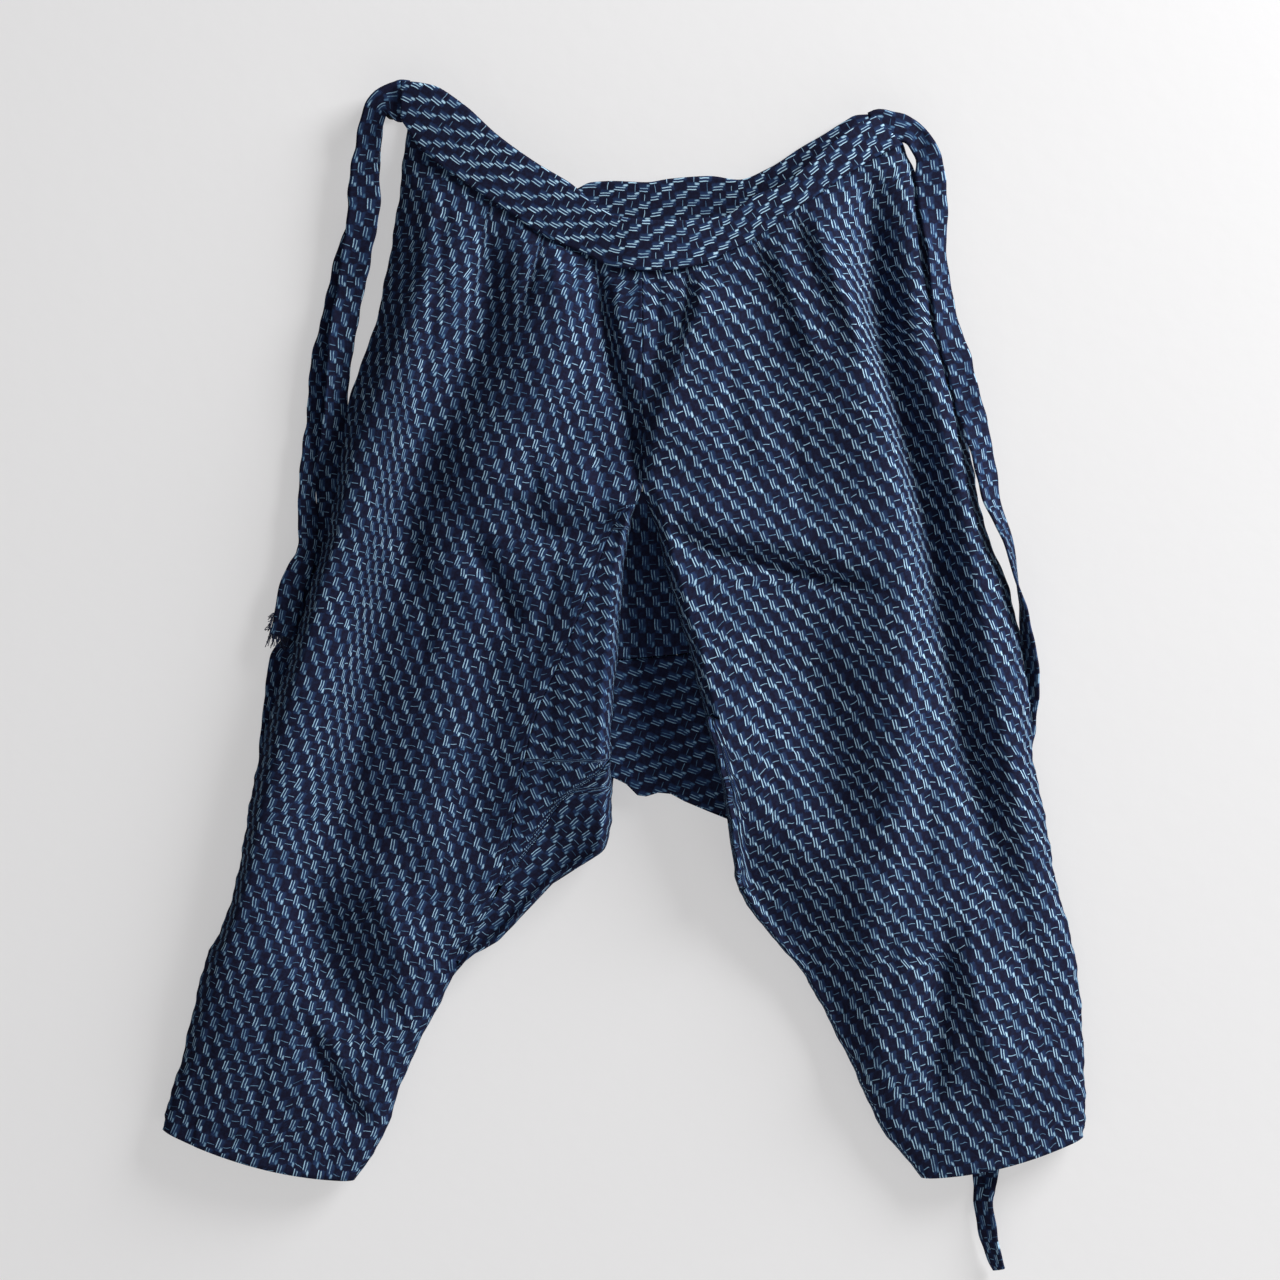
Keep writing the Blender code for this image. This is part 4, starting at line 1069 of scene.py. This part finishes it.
def waistbands():
    x, z, low_x, part, threads = band_grid(FRONT_BAND, 170, 20)
    nearer = np.where(low_x < CENTRE_X, BAND_REACH, -BAND_REACH)
    level = np.zeros_like(low_x)
    on_left, on_right = [
        np.maximum(leg.face(level, low_x), leg.face(level, low_x + nearer)) for leg in (LEFT, RIGHT)]
    depth = np.where(low_x < CENTRE_X, on_left, on_right) + BAND + BAND_CLEAR
    puff = 0.7 * np.sin(math.pi * part) ** 0.5
    gathers = 0.35 * np.sin(low_x / 4.1) * np.sin(low_x / 11.0 + 1.0) * part ** 2
    piece = cloth("band_front", x, z, depth + puff + gathers, threads, BAND_CLOTH, BAND)
    dress(piece, "waistband_front")

    x, z, low_x, part, threads = band_grid(BACK_BAND, 150, 20)
    ripple = 0.5 * np.sin(low_x / 17.0) * np.sin(low_x / 7.3) * (1 - part) ** 1.5
    depth = BACK_DEPTH - BAND_BEHIND + ripple + 0 * x
    piece = cloth("band_back", x, z, depth, threads, BAND_CLOTH, BAND, to_wall=True)
    dress(piece, "waistband_back")


waistbands()

# TIES. Flat straps of the cloth, folded lengthwise and sewn, which tie the waist. They hang from the
# band's corners and twist as they fall. The left back one has lost its hem and is frayed.

STRAP = 2.0
STRAP_WIDTH = 22.0
STRAP_STEP = 2.5
STRAP_COLUMNS = 9
TIE_CLOTH = kasuri("tie_kasuri", -0.15, 6.6)
TIE_LEFT_FRONT = Table("x z width depth turn", (
    (-180, 12, 32, 25.6, 0),
    (-188, 12, 34),
    (-194, 12, 30),
    (-200, 11, 24),
    (-206, 7, 19, 24.6),
    (-210, -1, 18, 22),
    (-213, -13, 19, 19),
    (-215, -26, 20, 18),
    (-217, -41, 22),
    (-217, -61, 26),
    (-219, -84, 25),
    (-225, -117, 24, 17),
    (-230, -148, 22, 17, -10),
    (-236, -186, 22, 16, -35),
    (-239, -226, 22, 15, -45),
    (-243.5, -262, 21, 10, -30),
    (-248.5, -290, 17, 5, -10),
    (-248.5, -322, 18, 4.5, 0),
    (-255, -354),
    (-265, -386),
    (-276, -418),
    (-286, -434, 16),
    (-291, -454, 13),
    (-295, -482, 11),
    (-298, -509, 10),
    (-300, -540, 12),
))
TIE_LEFT_BACK = Table("x z width depth turn", (
    (-176, 14, 18, 8.2, 0),
    (-186, 17, 15, 8.4),
    (-196, 17.5, 14, 9),
    (-202, 16.5, 14, 9.6),
    (-207, 11, 14, 10),
    (-210, 2, 15),
    (-212, -12, 17),
    (-215, -40, 20),
    (-217, -62, 21),
    (-221, -86),
    (-233, -117, 20),
    (-238, -142),
    (-244, -166, 18, 9.5, -10),
    (-252, -187, 14, 9, -20),
    (-254, -210, 16),
    (-256, -238),
    (-260, -270, 15, 9.5, -25),
    (-263, -297, 15, 11),
    (-262.5, -336, 15, 14, -20),
    (-264, -349, 15, 15, -10),
    (-270, -363, 20, 15.5, 0),
    (-277, -383, 20, 16),
    (-280, -398, 19),
    (-284, -414),
))
TIE_RIGHT = Table("x z width depth turn", (
    (186, -8, 21, 25.2, 0),
    (194, -7, 24, 25.6),
    (202, -8),
    (209, -8.5, 23),
    (217, -12, 20, 26),
    (224, -18, 19, 27),
    (230, -27),
    (233, -37, 22),
    (234.4, -50, 24.5, 28),
    (236.5, -76, 23, 29.5, -10),
    (240, -110, 22, 29.5, -45),
    (243, -138, 22, 29.5, -40),
    (248, -168, 22, 29.5, -25),
    (256, -195, 22, 29.5, -10),
    (261, -215),
    (268, -241, 22, 29.5, -15),
    (274, -262, 22, 29.5, -30),
    (280, -287, 22, 29.5, -40),
    (283, -305, 22, 29.5, -50),
    (291, -324, 22, 29.5, -60),
    (298, -342, 22, 28, -68),
    (302, -360, 22, 25, -75),
    (306, -377, 22, 23, -85),
    (310, -392, 22, 20, -95),
    (312, -407, 20, 17, -105),
    (316, -428, 18, 13, -118),
    (318, -450, 15, 8, -130),
    (316, -472, 14, 4, -165),
    (313, -490, 16, 2.6, -180),
    (308, -510, 18, 2.5),
    (302, -540, 20),
    (294, -600, 22),
    (284, -690),
    (280, -760),
    (281, -810),
    (281, -830, 20),
    (281, -848),
    (280, -858, 18, 5, -160),
    (279, -866, 18, 8, -140),
    (282, -890, 17, 9),
    (286, -906, 15, 9, -135),
    (292, -922, 12, 8),
))


def strap_grid(table):
    """x, z and depth over a strap, and its threads. It turns about its middle line as it falls."""
    places = np.arange(len(table.rows))
    gone = gone_along(np.hypot(np.diff(table.all("x")), np.diff(table.all("z"))))
    wanted = np.interp(np.linspace(0, gone[-1], round(gone[-1] / STRAP_STEP)), gone, places)
    x, z, width, depth, turn = [table.at(column, wanted)[:, None] for column in table.columns]
    tx, tz = np.gradient(x[:, 0])[:, None], np.gradient(z[:, 0])[:, None]
    run = np.hypot(tx, tz)
    tx, tz = tx / run, tz / run
    flat, lean = np.cos(np.radians(turn)), np.sin(np.radians(turn))
    part = np.linspace(-0.5, 0.5, STRAP_COLUMNS)[None, :]
    length = np.interp(wanted, places, gone)[:, None]
    off = part * width
    off = off + 0.7 * np.sin(length / 5.3 + 1.5 * part) * np.sin(length / 13.0)
    wave = 1.0 * np.sin(length / 9.0 + 3 * part) * np.sin(length / 23.0)
    wave = wave + 0.5 * np.sin(length / 4.1 + 6 * part) * np.sin(length / 37.0)
    grid = x - tz * off * flat, z + tx * off * flat, depth + off * lean + wave * np.abs(flat)
    return grid, (part * STRAP_WIDTH + 0 * length, length + 0 * part)


# The left back tie's end has frayed: loose threads hang from its cut end and from its outer edge. How many,
# the first and last root, how they lean and how long they are, the shortest and the longest.
FRAYED = Table("count first_x first_z last_x last_z lean least most", (
    (80, -292, -408, -276, -411, -0.12, 8, 16),
    (26, -289, -396, -292.5, -409, -0.9, 2, 5),
))
FRAYED_DEPTH = 15.6
THREAD_RADIUS = 0.33
THREAD_STEPS = 7


def frayed_threads():
    yarn = Net("loose_threads")
    yarn.feed("Base Color", yarn.mixed((yarn.mottle(260.0, 2.0) * 3.0 - 1.2).held(), GROUND, HALO))
    yarn.feed("Roughness", 0.9)
    hair = bpy.data.curves.new("tie_frayed_threads", "CURVE")
    hair.dimensions = "3D"
    hair.bevel_depth = THREAD_RADIUS * MM
    hair.bevel_resolution = 0
    hair.use_fill_caps = True
    for count, first_x, first_z, last_x, last_z, lean, least, most in FRAYED.rows:
        for n in range(int(count)):
            part = n / (count - 1)
            swing = math.sin(12.9 * n + 4.1)
            length = least + (most - least) * (0.5 + 0.5 * math.sin(7.7 * n + 1.3)) ** 2
            spline = hair.splines.new("POLY")
            spline.points.add(THREAD_STEPS)
            for k, point in enumerate(spline.points):
                gone = k / THREAD_STEPS
                x = first_x + (last_x - first_x) * part
                x += length * gone * lean + swing * length * 0.2 * gone ** 2
                z = first_z + (last_z - first_z) * part - length * gone * (1 - abs(lean) / 2)
                z += 0.5 * math.sin(5 * gone + n)
                depth = FRAYED_DEPTH + 1.2 * math.sin(3.1 * gone + 1.9 * n) * gone
                point.co = (*in_frame(x, z, depth), 1.0)
    piece = bpy.data.objects.new("tie_frayed_threads", hair)
    bpy.context.scene.collection.objects.link(piece)
    bpy.ops.object.select_all(action="DESELECT")
    piece.select_set(True)
    bpy.context.view_layer.objects.active = piece
    bpy.ops.object.convert(target="MESH")
    piece = bpy.context.object
    piece.data.materials.append(yarn.material)
    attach(piece, "root")
    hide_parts("tie_left_back")
    return piece


def tie(name, node, table, frayed=()):
    grid, threads = strap_grid(table)
    piece = cloth(name, *grid, threads, TIE_CLOTH, STRAP)
    dress(piece, node)


tie("tie_strap_left_front", "tie_left_front", TIE_LEFT_FRONT)
tie("tie_strap_left_back", "tie_left_back", TIE_LEFT_BACK, [frayed_threads()])
tie("tie_strap_right", "tie_right", TIE_RIGHT)

# PEGS. Two plain black iron pegs with a round wall plate, turned from rod, which carry the waist's
# corners. Their solids are right as they are and take a painted finish.

IRON_BLACK = (0.012, 0.012, 0.013, 1.0)
IRON_WORN = (0.05, 0.048, 0.046, 1.0)

iron = Net("peg_black_iron")
scuffs = iron.mottle(320.0, 4.0)
iron.feed("Base Color", iron.mixed(scuffs, IRON_BLACK, IRON_WORN))
iron.feed("Roughness", 0.42 + 0.3 * scuffs)
iron.feed("Metallic", 0.7)
iron.relief(0.2, 0.0002, scuffs)
for peg in ("hook_left", "hook_right"):
    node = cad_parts[peg]
    node.data.materials.clear()
    node.data.materials.append(iron.material)
